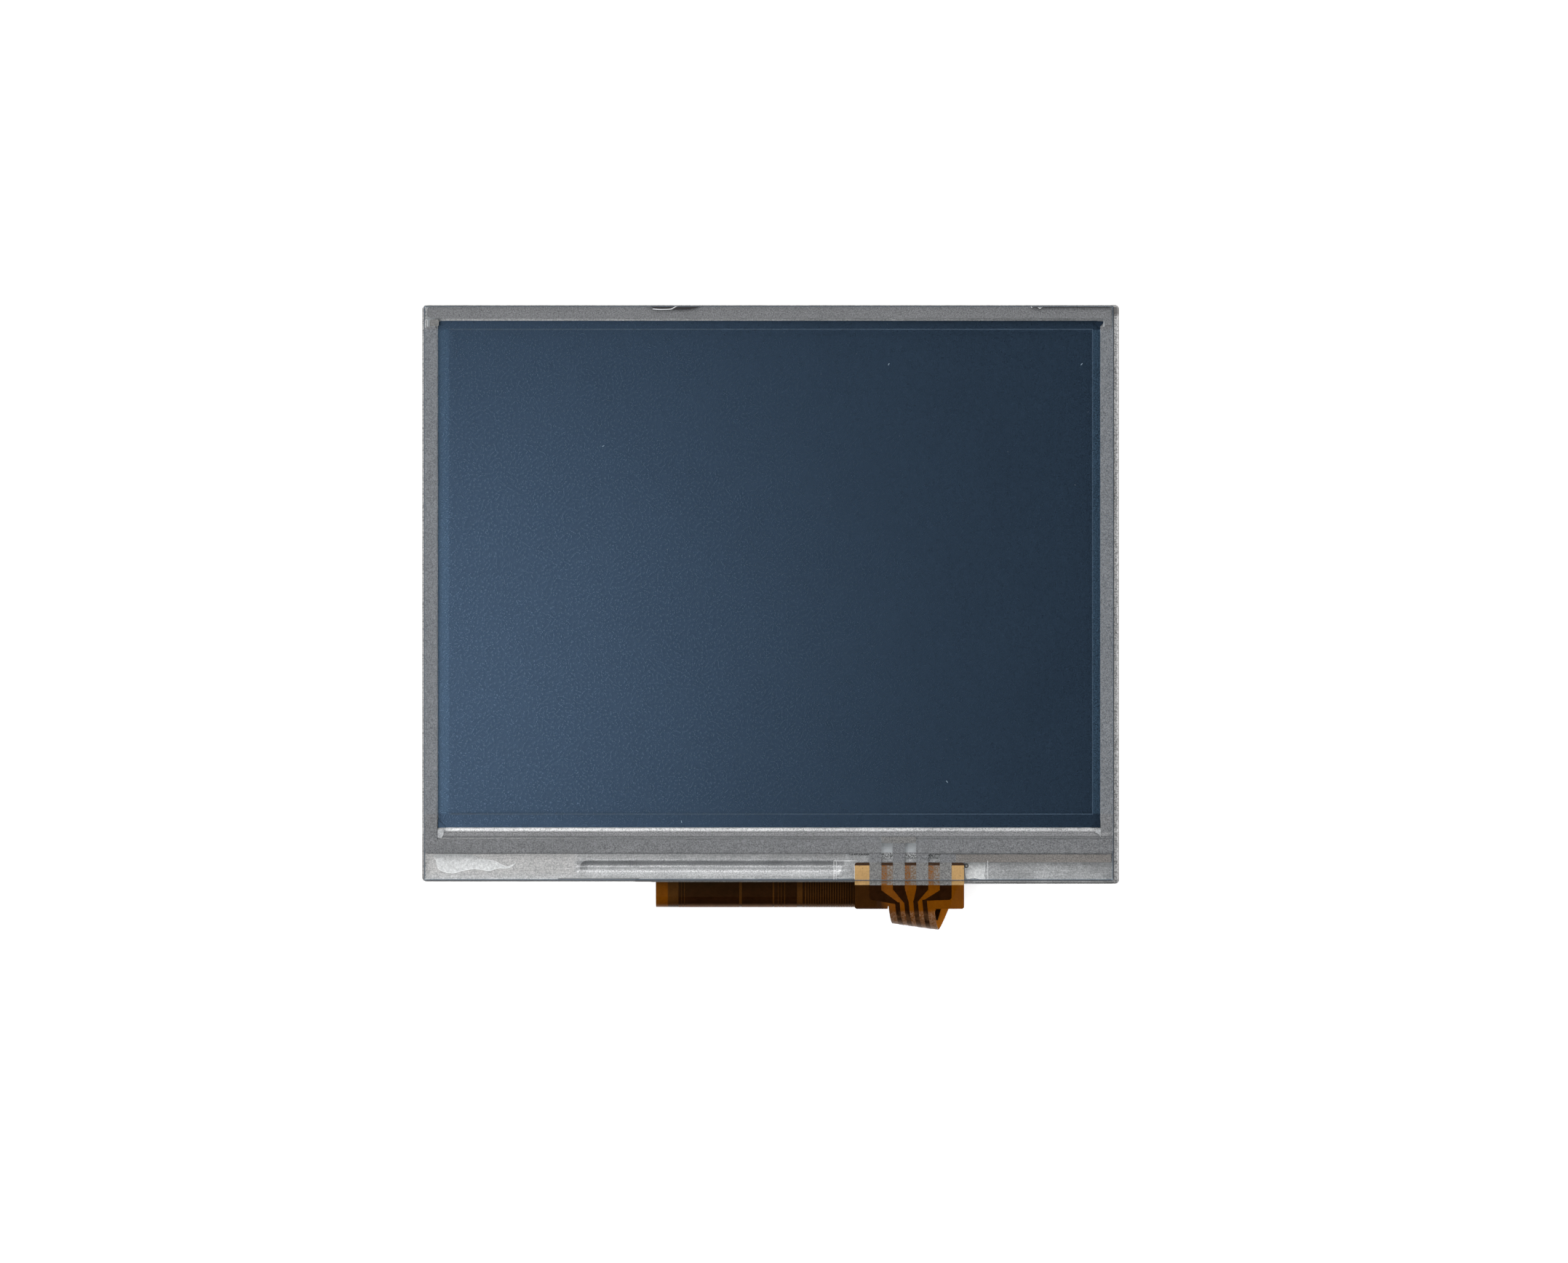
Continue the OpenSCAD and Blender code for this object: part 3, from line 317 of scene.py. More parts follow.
class Nodes:
    """A shader tree, with a short call for each kind of step. Values may be plain or come from sockets."""

    TREE = "ShaderNodeTree"
    OUTPUT = "NodeSocketFloat"
    # Width of a column and height of a row in the node editor
    COLUMN, ROW = 230, 210

    def __init__(self, tree):
        self.tree = tree

    def feed(self, socket, value):
        if isinstance(value, bpy.types.NodeSocket):
            self.tree.links.new(value, socket)
        elif socket.type == "RGBA":
            socket.default_value = (*value[:3], 1.0)
        else:
            socket.default_value = value

    def node(self, kind, inputs=None, **settings):
        """A new node; its inputs go by name or number."""
        made = self.tree.nodes.new(kind)
        for name, value in settings.items():
            setattr(made, name, value)
        for key, value in (inputs or {}).items():
            self.feed(made.inputs[key], value)
        return made

    def lay_out(self):
        """Sets the nodes in columns, from the output leftwards."""
        column = {n: 0 for n in self.tree.nodes}
        for _ in range(len(self.tree.nodes)):
            for link in self.tree.links:
                column[link.from_node] = max(column[link.from_node], column[link.to_node] + 1)
        rows = {}
        for n, depth in column.items():
            rows[depth] = rows.get(depth, 0) + 1
            n.location = (-self.COLUMN * depth, -self.ROW * rows[depth])

    def math(self, operation, *values, clamp=False):
        inputs = dict(enumerate(values))
        return self.node("ShaderNodeMath", inputs, operation=operation, use_clamp=clamp).outputs[0]

    def times(self, first, *others):
        for other in others:
            first = self.math("MULTIPLY", first, other)
        return first

    def plus(self, first, second, clamp=False):
        return self.math("ADD", first, second, clamp=clamp)

    def minus(self, first, second):
        return self.math("SUBTRACT", first, second)

    def spread(self, value, low, high, to_low=0.0, to_high=1.0):
        """value between low and high, mapped to between to_low and to_high."""
        inputs = {"Value": value, "From Min": low, "From Max": high, "To Min": to_low, "To Max": to_high}
        return self.node("ShaderNodeMapRange", inputs).outputs[0]

    def rough(self, height, low, high):
        """Roughness from low to high, as a pattern's height rises."""
        return self.spread(height, 0.3, 0.7, low, high)

    def mix(self, mask, first, second):
        """first where mask is 0, second where it is 1."""
        made = self.node("ShaderNodeMix", data_type="RGBA")
        sockets = [s for s in made.inputs if s.enabled]
        for socket, value in zip(sockets, (mask, first, second)):
            self.feed(socket, value)
        return [s for s in made.outputs if s.enabled][0]

    def scaled(self, vector, factor):
        """A vector or colour, times a number."""
        return self.node("ShaderNodeVectorMath", {0: vector, "Scale": factor}, operation="SCALE").outputs[0]

    def stretched(self, vector, factors):
        return self.node("ShaderNodeVectorMath", {0: vector, 1: factors}, operation="MULTIPLY").outputs[0]

    def part(self, vector, axis):
        return self.node("ShaderNodeSeparateXYZ", {0: vector}).outputs[axis]

    def place(self):
        return self.node("ShaderNodeTexCoord").outputs["Object"]

    def upward(self):
        """1 on faces that look up, 0 on upright ones, -1 on those that look down."""
        return self.part(self.node("ShaderNodeTexCoord").outputs["Normal"], "Z")

    def noise(self, place, detail, roughness=0.5, scale=1.0):
        inputs = {"Vector": place, "Scale": scale, "Detail": detail, "Roughness": roughness}
        return self.node("ShaderNodeTexNoise", inputs).outputs["Fac"]

    def varied(self, height, low, high, amount):
        """A Shade that goes amount below and above 1, as a height goes from low to high."""
        offset = self.times(self.spread(height, low, high, -1.0, 1.0), amount)
        return {"Shade": self.plus(1.0, offset), "Height": height}

    def use(self, name, build, **inputs):
        """Places a node group, which is built where it is first used, and gives its outputs."""
        group = bpy.data.node_groups.get(name) or node_group(Nodes, name, build, inputs)
        return self.node("ShaderNodeGroup", inputs, node_tree=group).outputs

    def mottle(self, size, amount, detail):
        """Even or cloudy variation of a surface: a Shade about 1, and its Height."""

        def build(t, given):
            place = t.scaled(t.place(), t.math("DIVIDE", 1.0, given["Size"]))
            return t.varied(t.noise(place, given["Detail"], 0.6), 0.25, 0.75, given["Amount"])

        return self.use("Mottle", build, Size=size, Amount=amount, Detail=detail)

    def streaks(self, stretch, amount):
        """Fine streaks along one direction, as on rolled sheet: a Shade about 1, and their Height."""

        def build(t, given):
            place = t.stretched(t.place(), given["Stretch"])
            return t.varied(t.noise(place, 3.0, 0.65), 0.3, 0.7, given["Amount"])

        return self.use("Streaks", build, Stretch=stretch, Amount=amount)

    def scratches(self, angle, width, stretch=(90.0, 900.0, 90.0)):
        """1 in sparse thin scratches that wander along one direction."""

        def build(t, given):
            turn = {"Vector": t.place(), "Angle": given["Angle"]}
            turned = t.node("ShaderNodeVectorRotate", turn, rotation_type="Z_AXIS").outputs[0]
            height = t.noise(t.stretched(turned, given["Stretch"]), 1.0, 0.4)
            thin = t.spread(t.math("ABSOLUTE", t.minus(height, 0.5)), 0.0, given["Width"], 1.0, 0.0)
            some = t.spread(t.noise(t.place(), 1.0, scale=260.0), 0.52, 0.62)
            return {"Mask": t.times(thin, some)}

        return self.use("Scratches", build, Stretch=stretch, Angle=angle, Width=width)["Mask"]

    def band(self, axis, start, end, softness=EDGE_LINE):
        """1 in a straight band across the part, between two distances along an axis."""

        def build(t, given):
            inputs = {0: t.place(), 1: given["Axis"]}
            along = t.node("ShaderNodeVectorMath", inputs, operation="DOT_PRODUCT").outputs["Value"]
            after = t.spread(t.minus(along, given["From"]), 0.0, given["Softness"])
            before = t.spread(t.minus(given["To"], along), 0.0, given["Softness"])
            return {"Mask": t.times(after, before)}

        return self.use("Band", build, Axis=axis, From=start, To=end, Softness=softness)["Mask"]

    def inside(self, left, lower, right, upper, softness=EDGE_LINE):
        """1 inside a rectangle of the part, 0 outside."""
        return self.times(self.band(X_AXIS, left, right, softness), self.band(Y_AXIS, lower, upper, softness))

    def sides(self, amount):
        """amount on faces that stand upright, 0 on flat ones."""

        def build(t, given):
            return {"Mask": t.spread(t.math("ABSOLUTE", t.upward()), 0.8, 0.3, 0.0, given["Amount"])}

        return self.use("Upright faces", build, Amount=amount)["Mask"]

    def specks(self, spacing, size, share):
        """1 in sparse round specks of dust or pigment."""

        def build(t, given):
            place = t.scaled(t.place(), t.math("DIVIDE", 1.0, given["Spacing"]))
            cells = t.node("ShaderNodeTexVoronoi", {"Vector": place, "Scale": 1.0, "Randomness": 1.0})
            dot = t.spread(cells.outputs["Distance"], given["Size"], t.times(given["Size"], 0.5))
            chosen = t.node("ShaderNodeSeparateColor", {0: cells.outputs["Color"]}).outputs[0]
            return {"Mask": t.times(dot, t.math("LESS_THAN", chosen, given["Share"]))}

        return self.use("Specks", build, Spacing=spacing, Size=size, Share=share)["Mask"]

    def fold_sheen(self, speckle):
        """1 in speckles on the front of the touch tail near the fold, where a sheen is painted."""
        slope = self.band(Y_AXIS, -FAR, HEAD_TOP - 5.3 * MM, 0.5 * MM)
        front = self.band(Z_AXIS, -1.9 * MM, FAR, 0.5 * MM)
        return self.times(slope, front, self.spread(speckle, 0.40, 0.58, 0.15, 1.0))


class Shapes(Nodes):
    """A Geometry Nodes tree, with a short call for each kind of step."""

    TREE = "GeometryNodeTree"
    OUTPUT = "NodeSocketGeometry"

    def vector(self, x, y, z):
        return self.node("ShaderNodeCombineXYZ", {"X": x, "Y": y, "Z": z}).outputs[0]

    def moved(self, geometry, **inputs):
        return self.node("GeometryNodeTransform", {"Geometry": geometry, **inputs}).outputs[0]

    def box(self, x, y, z, place):
        """A box of those sizes, set with its centre at a place."""
        cube = self.node("GeometryNodeMeshCube", {"Size": self.vector(x, y, z)}).outputs["Mesh"]
        return self.moved(cube, Translation=place)

    def grid(self, x, y, columns, rows, centre):
        """A grid of points of that size, round a centre."""
        inputs = {"Size X": x, "Size Y": y, "Vertices X": columns, "Vertices Y": rows}
        return self.moved(self.node("GeometryNodeMeshGrid", inputs).outputs["Mesh"], Translation=centre)

    def joined(self, *parts):
        made = self.node("GeometryNodeJoinGeometry")
        for part in parts:
            self.feed(made.inputs[0], part)
        return made.outputs[0]

    def on_points(self, points, shape, **extra):
        inputs = {"Points": points, "Instance": shape, **extra}
        placed = self.node("GeometryNodeInstanceOnPoints", inputs).outputs[0]
        return self.node("GeometryNodeRealizeInstances", {"Geometry": placed}).outputs[0]

    def with_material(self, geometry, finish):
        return self.node("GeometryNodeSetMaterial", {"Geometry": geometry, "Material": finish}).outputs[0]


class Finish(Nodes):
    """A material with one Principled shader."""

    def __init__(self, name):
        self.material = bpy.data.materials.new(name)
        self.material.use_nodes = True
        super().__init__(self.material.node_tree)
        self.tree.nodes.clear()

    def done(self, colour, roughness, bump=None, **others):
        """Feeds the shader. bump is a height, a strength and a depth; other names take _ for spaces."""
        inputs = {"Base Color": colour, "Roughness": roughness}
        for key, value in others.items():
            inputs[key.replace("_", " ")] = value
        if bump:
            made = self.node("ShaderNodeBump", dict(zip(("Height", "Strength", "Distance"), bump)))
            inputs["Normal"] = made.outputs[0]
        shader = self.node("ShaderNodeBsdfPrincipled", inputs)
        self.node("ShaderNodeOutputMaterial", {"Surface": shader.outputs[0]})
        self.lay_out()
        return self.material


def node_group(kind, name, build, inputs):
    """A node group whose inputs have those names and first values. build gives what comes out."""
    group = bpy.data.node_groups.new(name, kind.TREE)
    for label, value in inputs.items():
        socket = "NodeSocket" + SOCKETS[type(value)]
        group.interface.new_socket(name=label, in_out="INPUT", socket_type=socket).default_value = value
    t = kind(group)
    made = build(t, t.node("NodeGroupInput").outputs)
    for label in made:
        group.interface.new_socket(name=label, in_out="OUTPUT", socket_type=kind.OUTPUT)
    t.node("NodeGroupOutput", made)
    t.lay_out()
    return group


# ---------- mesh helpers ----------


def dress(finish, *names):
    """Gives CAD nodes a material."""
    for name in names:
        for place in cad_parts[name].material_slots:
            place.material = finish


def keep(name, mesh, finish=None):
    """Makes a finished mesh a piece of the module."""
    if finish:
        mesh.materials.clear()
        mesh.materials.append(finish)
    piece = bpy.data.objects.new(name, mesh)
    bpy.context.scene.collection.objects.link(piece)
    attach(piece, "root")
    return piece


def evaluated_mesh(piece):
    bpy.context.view_layer.update()
    evaluated = piece.evaluated_get(bpy.context.evaluated_depsgraph_get())
    return bpy.data.meshes.new_from_object(evaluated)


def grown(name, group, values):
    """Evaluates a Geometry Nodes tree once and keeps its result as a piece."""
    carrier = bpy.data.objects.new(name + "_carrier", bpy.data.meshes.new("carrier"))
    bpy.context.scene.collection.objects.link(carrier)
    modifier = carrier.modifiers.new("nodes", "NODES")
    modifier.node_group = group
    for item in group.interface.items_tree:
        if item.in_out == "INPUT":
            modifier[item.identifier] = values[item.name]
    mesh = evaluated_mesh(carrier)
    carrier.modifiers.remove(modifier)
    bpy.data.objects.remove(carrier)
    return keep(name, mesh)


def mesh_from(build):
    """A mesh made by build(bm), with its doubles merged and its faces outward."""
    bm = bmesh.new()
    build(bm)
    bmesh.ops.remove_doubles(bm, verts=bm.verts, dist=1e-8)
    bmesh.ops.recalc_face_normals(bm, faces=bm.faces)
    made = bpy.data.meshes.new("piece")
    bm.to_mesh(made)
    bm.free()
    return made


def slab(bm, outline, low, high, crown=0.0):
    """A flat slab with that outline; crown pulls its upper edge in by that much, as a rounded border."""
    centre = sum((Vector(p) for p in outline), Vector((0.0, 0.0))) / len(outline)
    layers = []
    for z, inset in ((low, 0.0), (high - (high - low) * 0.3, 0.0), (high, crown)):
        ring = []
        for p in outline:
            away = Vector(p) - centre
            reach = away.length
            q = centre + away * max(0.0, (reach - inset) / reach) if reach > 0 else centre
            ring.append(bm.verts.new((q.x, q.y, z)))
        layers.append(ring)
    count = len(outline)
    for lower, upper in zip(layers, layers[1:]):
        for i in range(count):
            j = (i + 1) % count
            bm.faces.new((lower[i], lower[j], upper[j], upper[i]))
    bm.faces.new(list(reversed(layers[0])))
    bm.faces.new(layers[-1])


def ribbon(bm, path, width, low, high, closed=False):
    """A flat ribbon of constant width along a path."""
    points = [Vector(p) for p in path]
    count = len(points)
    left, right = [], []
    for i, p in enumerate(points):
        before = points[(i - 1) % count] if closed or i else p
        after = points[(i + 1) % count] if closed or i < count - 1 else p
        way = (after - before).normalized()
        side = Vector((-way.y, way.x)) * width / 2
        left.append(p + side)
        right.append(p - side)
    levels = ((left, high), (right, high), (right, low), (left, low))
    rows = [[bm.verts.new((q.x, q.y, z)) for q in row] for row, z in levels]
    for i in range(count if closed else count - 1):
        j = (i + 1) % count
        for a, b in zip(rows, rows[1:] + rows[:1]):
            bm.faces.new((a[i], b[i], b[j], a[j]))
    if not closed:
        bm.faces.new([row[0] for row in reversed(rows)])
        bm.faces.new([row[-1] for row in rows])


def smooth_curve(corners, steps, closed):
    """A Catmull-Rom curve through the corners."""
    count = len(corners)
    made = []
    for i in range(count if closed else count - 1):
        near = range(i - 1, i + 3)
        p = [Vector(corners[j % count if closed else min(max(j, 0), count - 1)]) for j in near]
        for step in range(steps):
            t = step / steps
            q = 0.5 * (
                2 * p[1] + (p[2] - p[0]) * t + (2 * p[0] - 5 * p[1] + 4 * p[2] - p[3]) * t * t
                + (3 * p[1] - p[0] - 3 * p[2] + p[3]) * t ** 3
            )
            made.append((q.x, q.y))
    return made if closed else made + [tuple(corners[-1])]


def round_box(x0, y0, x1, y1, radius, steps=5):
    """Outline of a rectangle with rounded corners."""
    made = []
    for cx, cy, start in ((x1, y1, 0), (x0, y1, 90), (x0, y0, 180), (x1, y0, 270)):
        centre_x = cx - radius if cx == x1 else cx + radius
        centre_y = cy - radius if cy == y1 else cy + radius
        for step in range(steps + 1):
            a = math.radians(start + 90 * step / steps)
            made.append((centre_x + radius * math.cos(a), centre_y + radius * math.sin(a)))
    return made


def inset(low, high, by):
    """The rectangle between two corners, drawn in on all sides."""
    return low.x + by, low.y + by, high.x - by, high.y - by


def beside(x, y, points):
    """Points given in millimetres from x and y."""
    return [(x + px * MM, y + py * MM) for px, py in points]


# ---------- materials ----------


def laminated_panel(settings):
    """Matte film over spacer and glass: nearly clear, hazier border, dull ground edges, painted shade along
    its rim.
    """
    t = Finish("laminated_panel")
    grain = t.mottle(size=settings.film_grain, amount=2.0, detail=2.0)
    cloud = t.mottle(size=9 * MM, amount=0.06, detail=1.0)
    shade = t.math("MAXIMUM", t.times(grain["Shade"], cloud["Shade"]), 0.0)
    left, lower, right, upper = SPACER_HOLE
    beyond = t.minus(1.0, t.inside(left, -FAR, right, FAR))
    border = t.times(beyond, t.inside(-FAR, lower, FAR, upper))
    # Painted shade: a dark line along the rim of the top face
    rim = t.minus(1.0, t.inside(*inset(PANEL_LOW, PANEL_HIGH, EDGE_LINE)))
    top = t.spread(t.upward(), 0.3, 0.8)
    sides = t.sides(0.6)
    film = t.band(Z_AXIS, FILM_LOW.z, FAR, 0.02 * MM)
    haze = t.plus(settings.film_cover, t.times(border, settings.border_cover))
    cover = t.times(top, t.plus(t.times(haze, shade), t.times(rim, settings.rim_shade_cover)))
    flat = t.mix(rim, settings.film_haze, TONES["panel rim shade"])
    edge = t.mix(film, TONES["glass edge"], TONES["film edge"])
    return t.done(
        t.scaled(t.mix(sides, flat, edge), cloud["Shade"]), t.rough(grain["Height"], 0.30, 0.42),
        (grain["Height"], 0.02, 0.002 * MM), Alpha=t.plus(cover, sides, clamp=True), IOR=1.55,
    )


def silver_print(name, grey, route=False):
    """Screen-printed silver paste, dull and finely grained. route adds the lines along the printed routes."""
    t = Finish(name)
    grain = t.mottle(size=0.13 * MM, amount=0.75, detail=3.0)
    cloud = t.mottle(size=5 * MM, amount=0.07, detail=2.0)
    paste = grey
    for start, low, high, amount, tone in PRINT_LINES if route else ():
        (left, lower), (_, upper) = beside(PANEL_LOW.x, PANEL_LOW.y, ((start, low), (start, high)))
        line = t.inside(left, lower, PANEL_HIGH.x, upper, 0.03 * MM)
        paste = t.mix(t.times(line, amount), paste, tone)
    return t.done(
        t.scaled(paste, t.times(grain["Shade"], cloud["Shade"])), t.rough(grain["Height"], 0.5, 0.7),
        (grain["Height"], 0.35, 0.01 * MM), Metallic=0.25,
    )


def cell_glass():
    """Glass of the display cell seen nearly clear, with ground edges."""
    t = Finish("cell_glass")
    cloud = t.mottle(size=14 * MM, amount=0.12, detail=1.0)
    ground = t.mottle(size=0.08 * MM, amount=0.25, detail=2.0)
    sides = t.sides(0.3)
    return t.done(
        t.scaled(TONES["cell glass"], t.times(cloud["Shade"], ground["Shade"])),
        t.spread(sides, 0.0, 1.0, 0.08, 0.5), Alpha=t.plus(0.45, sides, clamp=True), IOR=1.5,
    )


def bezel_steel(settings):
    """Rolled stainless sheet with fine streaks, a few scratches, patches, painted highlights and painted
    shade.
    """
    t = Finish("bezel_steel")
    rolled = t.streaks(stretch=(420.0, 6000.0, 900.0), amount=0.14)
    grain = t.mottle(size=0.14 * MM, amount=0.48, detail=3.0)
    cloud = t.mottle(size=4 * MM, amount=0.12, detail=3.0)
    scratches = t.scratches(angle=0.5, width=0.010)
    height = grain["Height"]
    shade = t.times(rolled["Shade"], grain["Shade"], cloud["Shade"])
    colour = t.scaled(settings.steel, shade)
    colour = t.mix(t.times(scratches, 0.55), colour, TONES["steel scratch"])
    strips = t.minus(1.0, t.inside(BEZEL_LOW.x + 0.5 * MM, -FAR, BEZEL_HIGH.x - 0.7 * MM, FAR))
    colour = t.mix(t.times(strips, t.spread(height, 0.47, 0.56)), colour, TONES["steel fleck"])
    pits = t.times(strips, t.spread(height, 0.46, 0.38, 0.0, 0.6))
    colour = t.mix(pits, colour, TONES["steel pit"])
    # Patches, painted highlights and painted shade from the table
    for start, end, low, high, soft, amount, tone in STEEL_TONES_AND_PAINTED_LIGHT:
        first, last = beside(BEZEL_LOW.x, BEZEL_LOW.y, ((start, low), (end, high)))
        mask = t.times(t.inside(*first, *last, soft * MM), t.spread(height, 0.2, 0.6, 0.4 * amount, amount))
        colour = t.mix(mask, colour, t.scaled(tone, shade))
    roughness = settings.steel_roughness
    return t.done(
        # Painted shade: the upright faces of the bends are darker
        t.mix(t.sides(0.8), colour, TONES["steel bend shade"]),
        t.rough(cloud["Height"], roughness - 0.05, roughness + 0.06),
        (t.plus(rolled["Height"], height), 0.25, 0.004 * MM), Metallic=1.0,
    )


def back_steel(settings):
    """Rolled steel of the back plate, duller, with handling marks."""
    t = Finish("back_steel")
    rolled = t.streaks(stretch=(150.0, 3200.0, 600.0), amount=0.07)
    cloud = t.mottle(size=11 * MM, amount=0.09, detail=4.0)
    scratches = t.scratches(angle=-0.9, width=0.006)
    colour = t.scaled(settings.plate, t.times(rolled["Shade"], cloud["Shade"]))
    return t.done(
        t.mix(t.times(scratches, 0.4), colour, TONES["plate scratch"]), t.rough(cloud["Height"], 0.32, 0.46),
        (rolled["Height"], 0.3, 0.005 * MM), Metallic=1.0,
    )


def dark_polariser(settings):
    """Dark display stack, with the tint of its thin coatings."""
    t = Finish("dark_polariser")
    cloud = t.mottle(size=16 * MM, amount=0.06, detail=1.0)
    grain = t.mottle(size=0.13 * MM, amount=0.12, detail=2.0)
    dust = t.specks(spacing=6.5 * MM, size=0.012, share=0.20)
    colour = t.scaled(settings.polariser, t.times(cloud["Shade"], grain["Shade"]))
    return t.done(
        t.mix(dust, colour, TONES["dust on display"]), t.rough(grain["Height"], 0.26, 0.36),
        (grain["Height"], 0.05, 0.002 * MM),
        IOR=1.6, Specular_IOR_Level=0.92, Specular_Tint=settings.polariser_gloss,
    )


def plain_sheet(name, **constants):
    """A sheet or moulding of the table, whose colour and gloss vary a little. Its CAD nodes get it."""
    colour, roughness, amount, size, bump, *nodes = SHEETS[name]
    t = Finish(name)
    cloud = t.mottle(size=size * MM, amount=amount, detail=3.0)
    grain = t.mottle(size=0.12 * MM, amount=amount * 0.7, detail=2.0)
    finish = t.done(
        t.scaled(colour, t.times(cloud["Shade"], grain["Shade"])),
        t.rough(cloud["Height"], max(0.02, roughness - 0.05), roughness + 0.05),
        (grain["Height"], bump, 0.01 * MM), **constants,
    )
    dress(finish, *nodes)
    return finish


def glue_foam():
    """Squeezed-out glue full of small bubbles, light and dark in fine speckles."""
    t = Finish("glue_foam")
    height = t.mottle(size=0.14 * MM, amount=0.1, detail=2.0)["Height"]
    cloud = t.mottle(size=0.7 * MM, amount=0.15, detail=2.0)
    colour = t.mix(t.spread(height, 0.42, 0.58), TONES["dark bubbles"], TONES["light bubbles"])
    return t.done(t.scaled(colour, cloud["Shade"]), t.rough(height, 0.3, 0.5), (height, 0.6, 0.03 * MM))


def white_moulding(settings):
    """Glass-filled white resin with faint flow lines and dust."""
    t = Finish("white_moulding")
    flow = t.streaks(stretch=(140.0, 600.0, 900.0), amount=0.025)
    grain = t.mottle(size=0.3 * MM, amount=0.03, detail=3.0)
    dust = t.specks(spacing=2.2 * MM, size=0.05, share=0.25)
    colour = t.scaled(settings.moulding, t.times(flow["Shade"], grain["Shade"]))
    return t.done(
        t.mix(t.times(dust, 0.6), colour, TONES["dust on moulding"]), t.rough(grain["Height"], 0.42, 0.55),
        (t.plus(flow["Height"], grain["Height"]), 0.2, 0.01 * MM),
    )


def bonded_film(t, settings, speckle):
    """The bare end of the touch flex: glue between the leads, pads with specks at both ends."""
    left, right = STRIP_LOW.x, STRIP_HIGH.x
    glue = t.mix(t.spread(speckle, 0.42, 0.58), TONES["bond glue dark"], TONES["bond glue light"])
    step = t.math("DIVIDE", t.minus(t.part(t.place(), "X"), left + LEAD_W), LEAD_PITCH)
    share = t.math("FRACT", t.plus(step, 1.0))
    early = t.times(t.spread(share, 0.20, 0.27, 1.0, 0.0), t.spread(speckle, 0.46, 0.54))
    glue = t.mix(early, glue, TONES["bond glue amber"])
    specks = t.specks(spacing=0.40 * MM, size=0.24, share=0.5)
    pads = t.mix(t.times(specks, 0.8), settings.bare, TONES["pad speck"])
    return t.mix(t.band(X_AXIS, left, right), pads, glue)


def touch_film(t, settings, colour, speckle):
    """Colours of the touch flex: bonded end, step, painted sheen at the fold, painted light and a slot on its
    inner side.
    """
    top = HEAD_TOP - 0.35 * MM
    soft = 0.04 * MM
    over = t.band((1.0, 0.35, 0.0), -FAR, MAIN_HIGH.x - 10.5 * MM, 1.1 * MM)
    colour = t.mix(over, colour, TONES["flex over flex"])
    bonded = bonded_film(t, settings, speckle)
    colour = t.mix(t.band(Y_AXIS, STRIP_LOW.y, top, soft), colour, bonded)
    step = t.times(t.band(Y_AXIS, top - soft, FAR, soft), t.band(Z_AXIS, -1 * MM, FAR, soft))
    colour = t.mix(step, colour, TONES["coverlay step"])
    # Painted sheen near the fold
    colour = t.mix(t.fold_sheen(speckle), colour, TONES["coverlay fold sheen"])
    # Painted light: upward faces of the rear ply under the fold get a much brighter colour
    low = t.spread(t.part(t.place(), "Z"), -2.2 * MM, -2.4 * MM)
    inner = t.times(low, t.spread(t.upward(), 0.2, 0.4))
    colour = t.mix(inner, colour, TONES["painted light inside fold"])
    start = HEAD_LOW.x - SLOT_LEAN * HEAD_LOW.y
    across = t.band((1.0, -SLOT_LEAN, 0.0), start + 8.38 * MM, start + 9.0 * MM)
    along = t.band(Y_AXIS, HEAD_LOW.y + 0.95 * MM, HEAD_LOW.y + 2.34 * MM)
    return t.mix(t.times(inner, t.times(across, along)), colour, TONES["slot"])


def covered_flex(name, settings, touch):
    """Polyimide flex, amber under its coverlay. The main flex is darker over its wide copper planes."""
    t = Finish(name)
    weave = t.streaks(stretch=(2400.0, 500.0, 500.0), amount=0.08)
    cloud = t.mottle(size=1.6 * MM, amount=0.12, detail=3.0)
    fine = t.mottle(size=0.2 * MM, amount=0.10, detail=2.0)
    colour = t.mix(t.sides(0.5), settings.coverlay, TONES["flex edge"])
    if touch:
        colour = touch_film(t, settings, colour, fine["Height"])
    else:
        planes = t.band(X_AXIS, MAIN_LOW.x + 1.25 * MM, FAR, 0.15 * MM)
        colour = t.mix(planes, colour, TONES["flex over copper"])
    return t.done(
        t.scaled(colour, t.times(weave["Shade"], cloud["Shade"], fine["Shade"])),
        t.rough(cloud["Height"], 0.16, 0.24),
        (t.plus(cloud["Height"], t.times(weave["Height"], 0.4)), 0.25, 0.02 * MM),
        Alpha=0.94, Specular_IOR_Level=0.09, Specular_Tint=TONES["flex gloss"],
    )


def covered_copper(settings):
    """Copper seen dark through the coverlay, with its mottled gloss and a painted sheen near the touch tail's
    fold.
    """
    t = Finish("covered_copper")
    cloud = t.mottle(size=0.7 * MM, amount=0.35, detail=4.0)
    height = cloud["Height"]
    colour = t.mix(t.sides(1.0), settings.copper, TONES["copper edge"])
    # Painted sheen near the fold of the touch tail
    colour = t.mix(t.fold_sheen(height), colour, TONES["copper fold sheen"])
    return t.done(
        t.scaled(colour, cloud["Shade"]), t.rough(height, 0.16, 0.26), (height, 0.3, 0.01 * MM),
        Specular_IOR_Level=0.09, Specular_Tint=TONES["flex gloss"],
    )


def plated_metal(name, colour, roughness):
    """Plated or tinned metal, softly uneven."""
    t = Finish(name)
    cloud = t.mottle(size=0.25 * MM, amount=0.08, detail=3.0)
    height = cloud["Height"]
    return t.done(
        t.scaled(colour, cloud["Shade"]), t.rough(height, roughness - 0.06, roughness + 0.08),
        (height, 0.2, 0.006 * MM), Metallic=1.0,
    )


# ---------- operators ----------


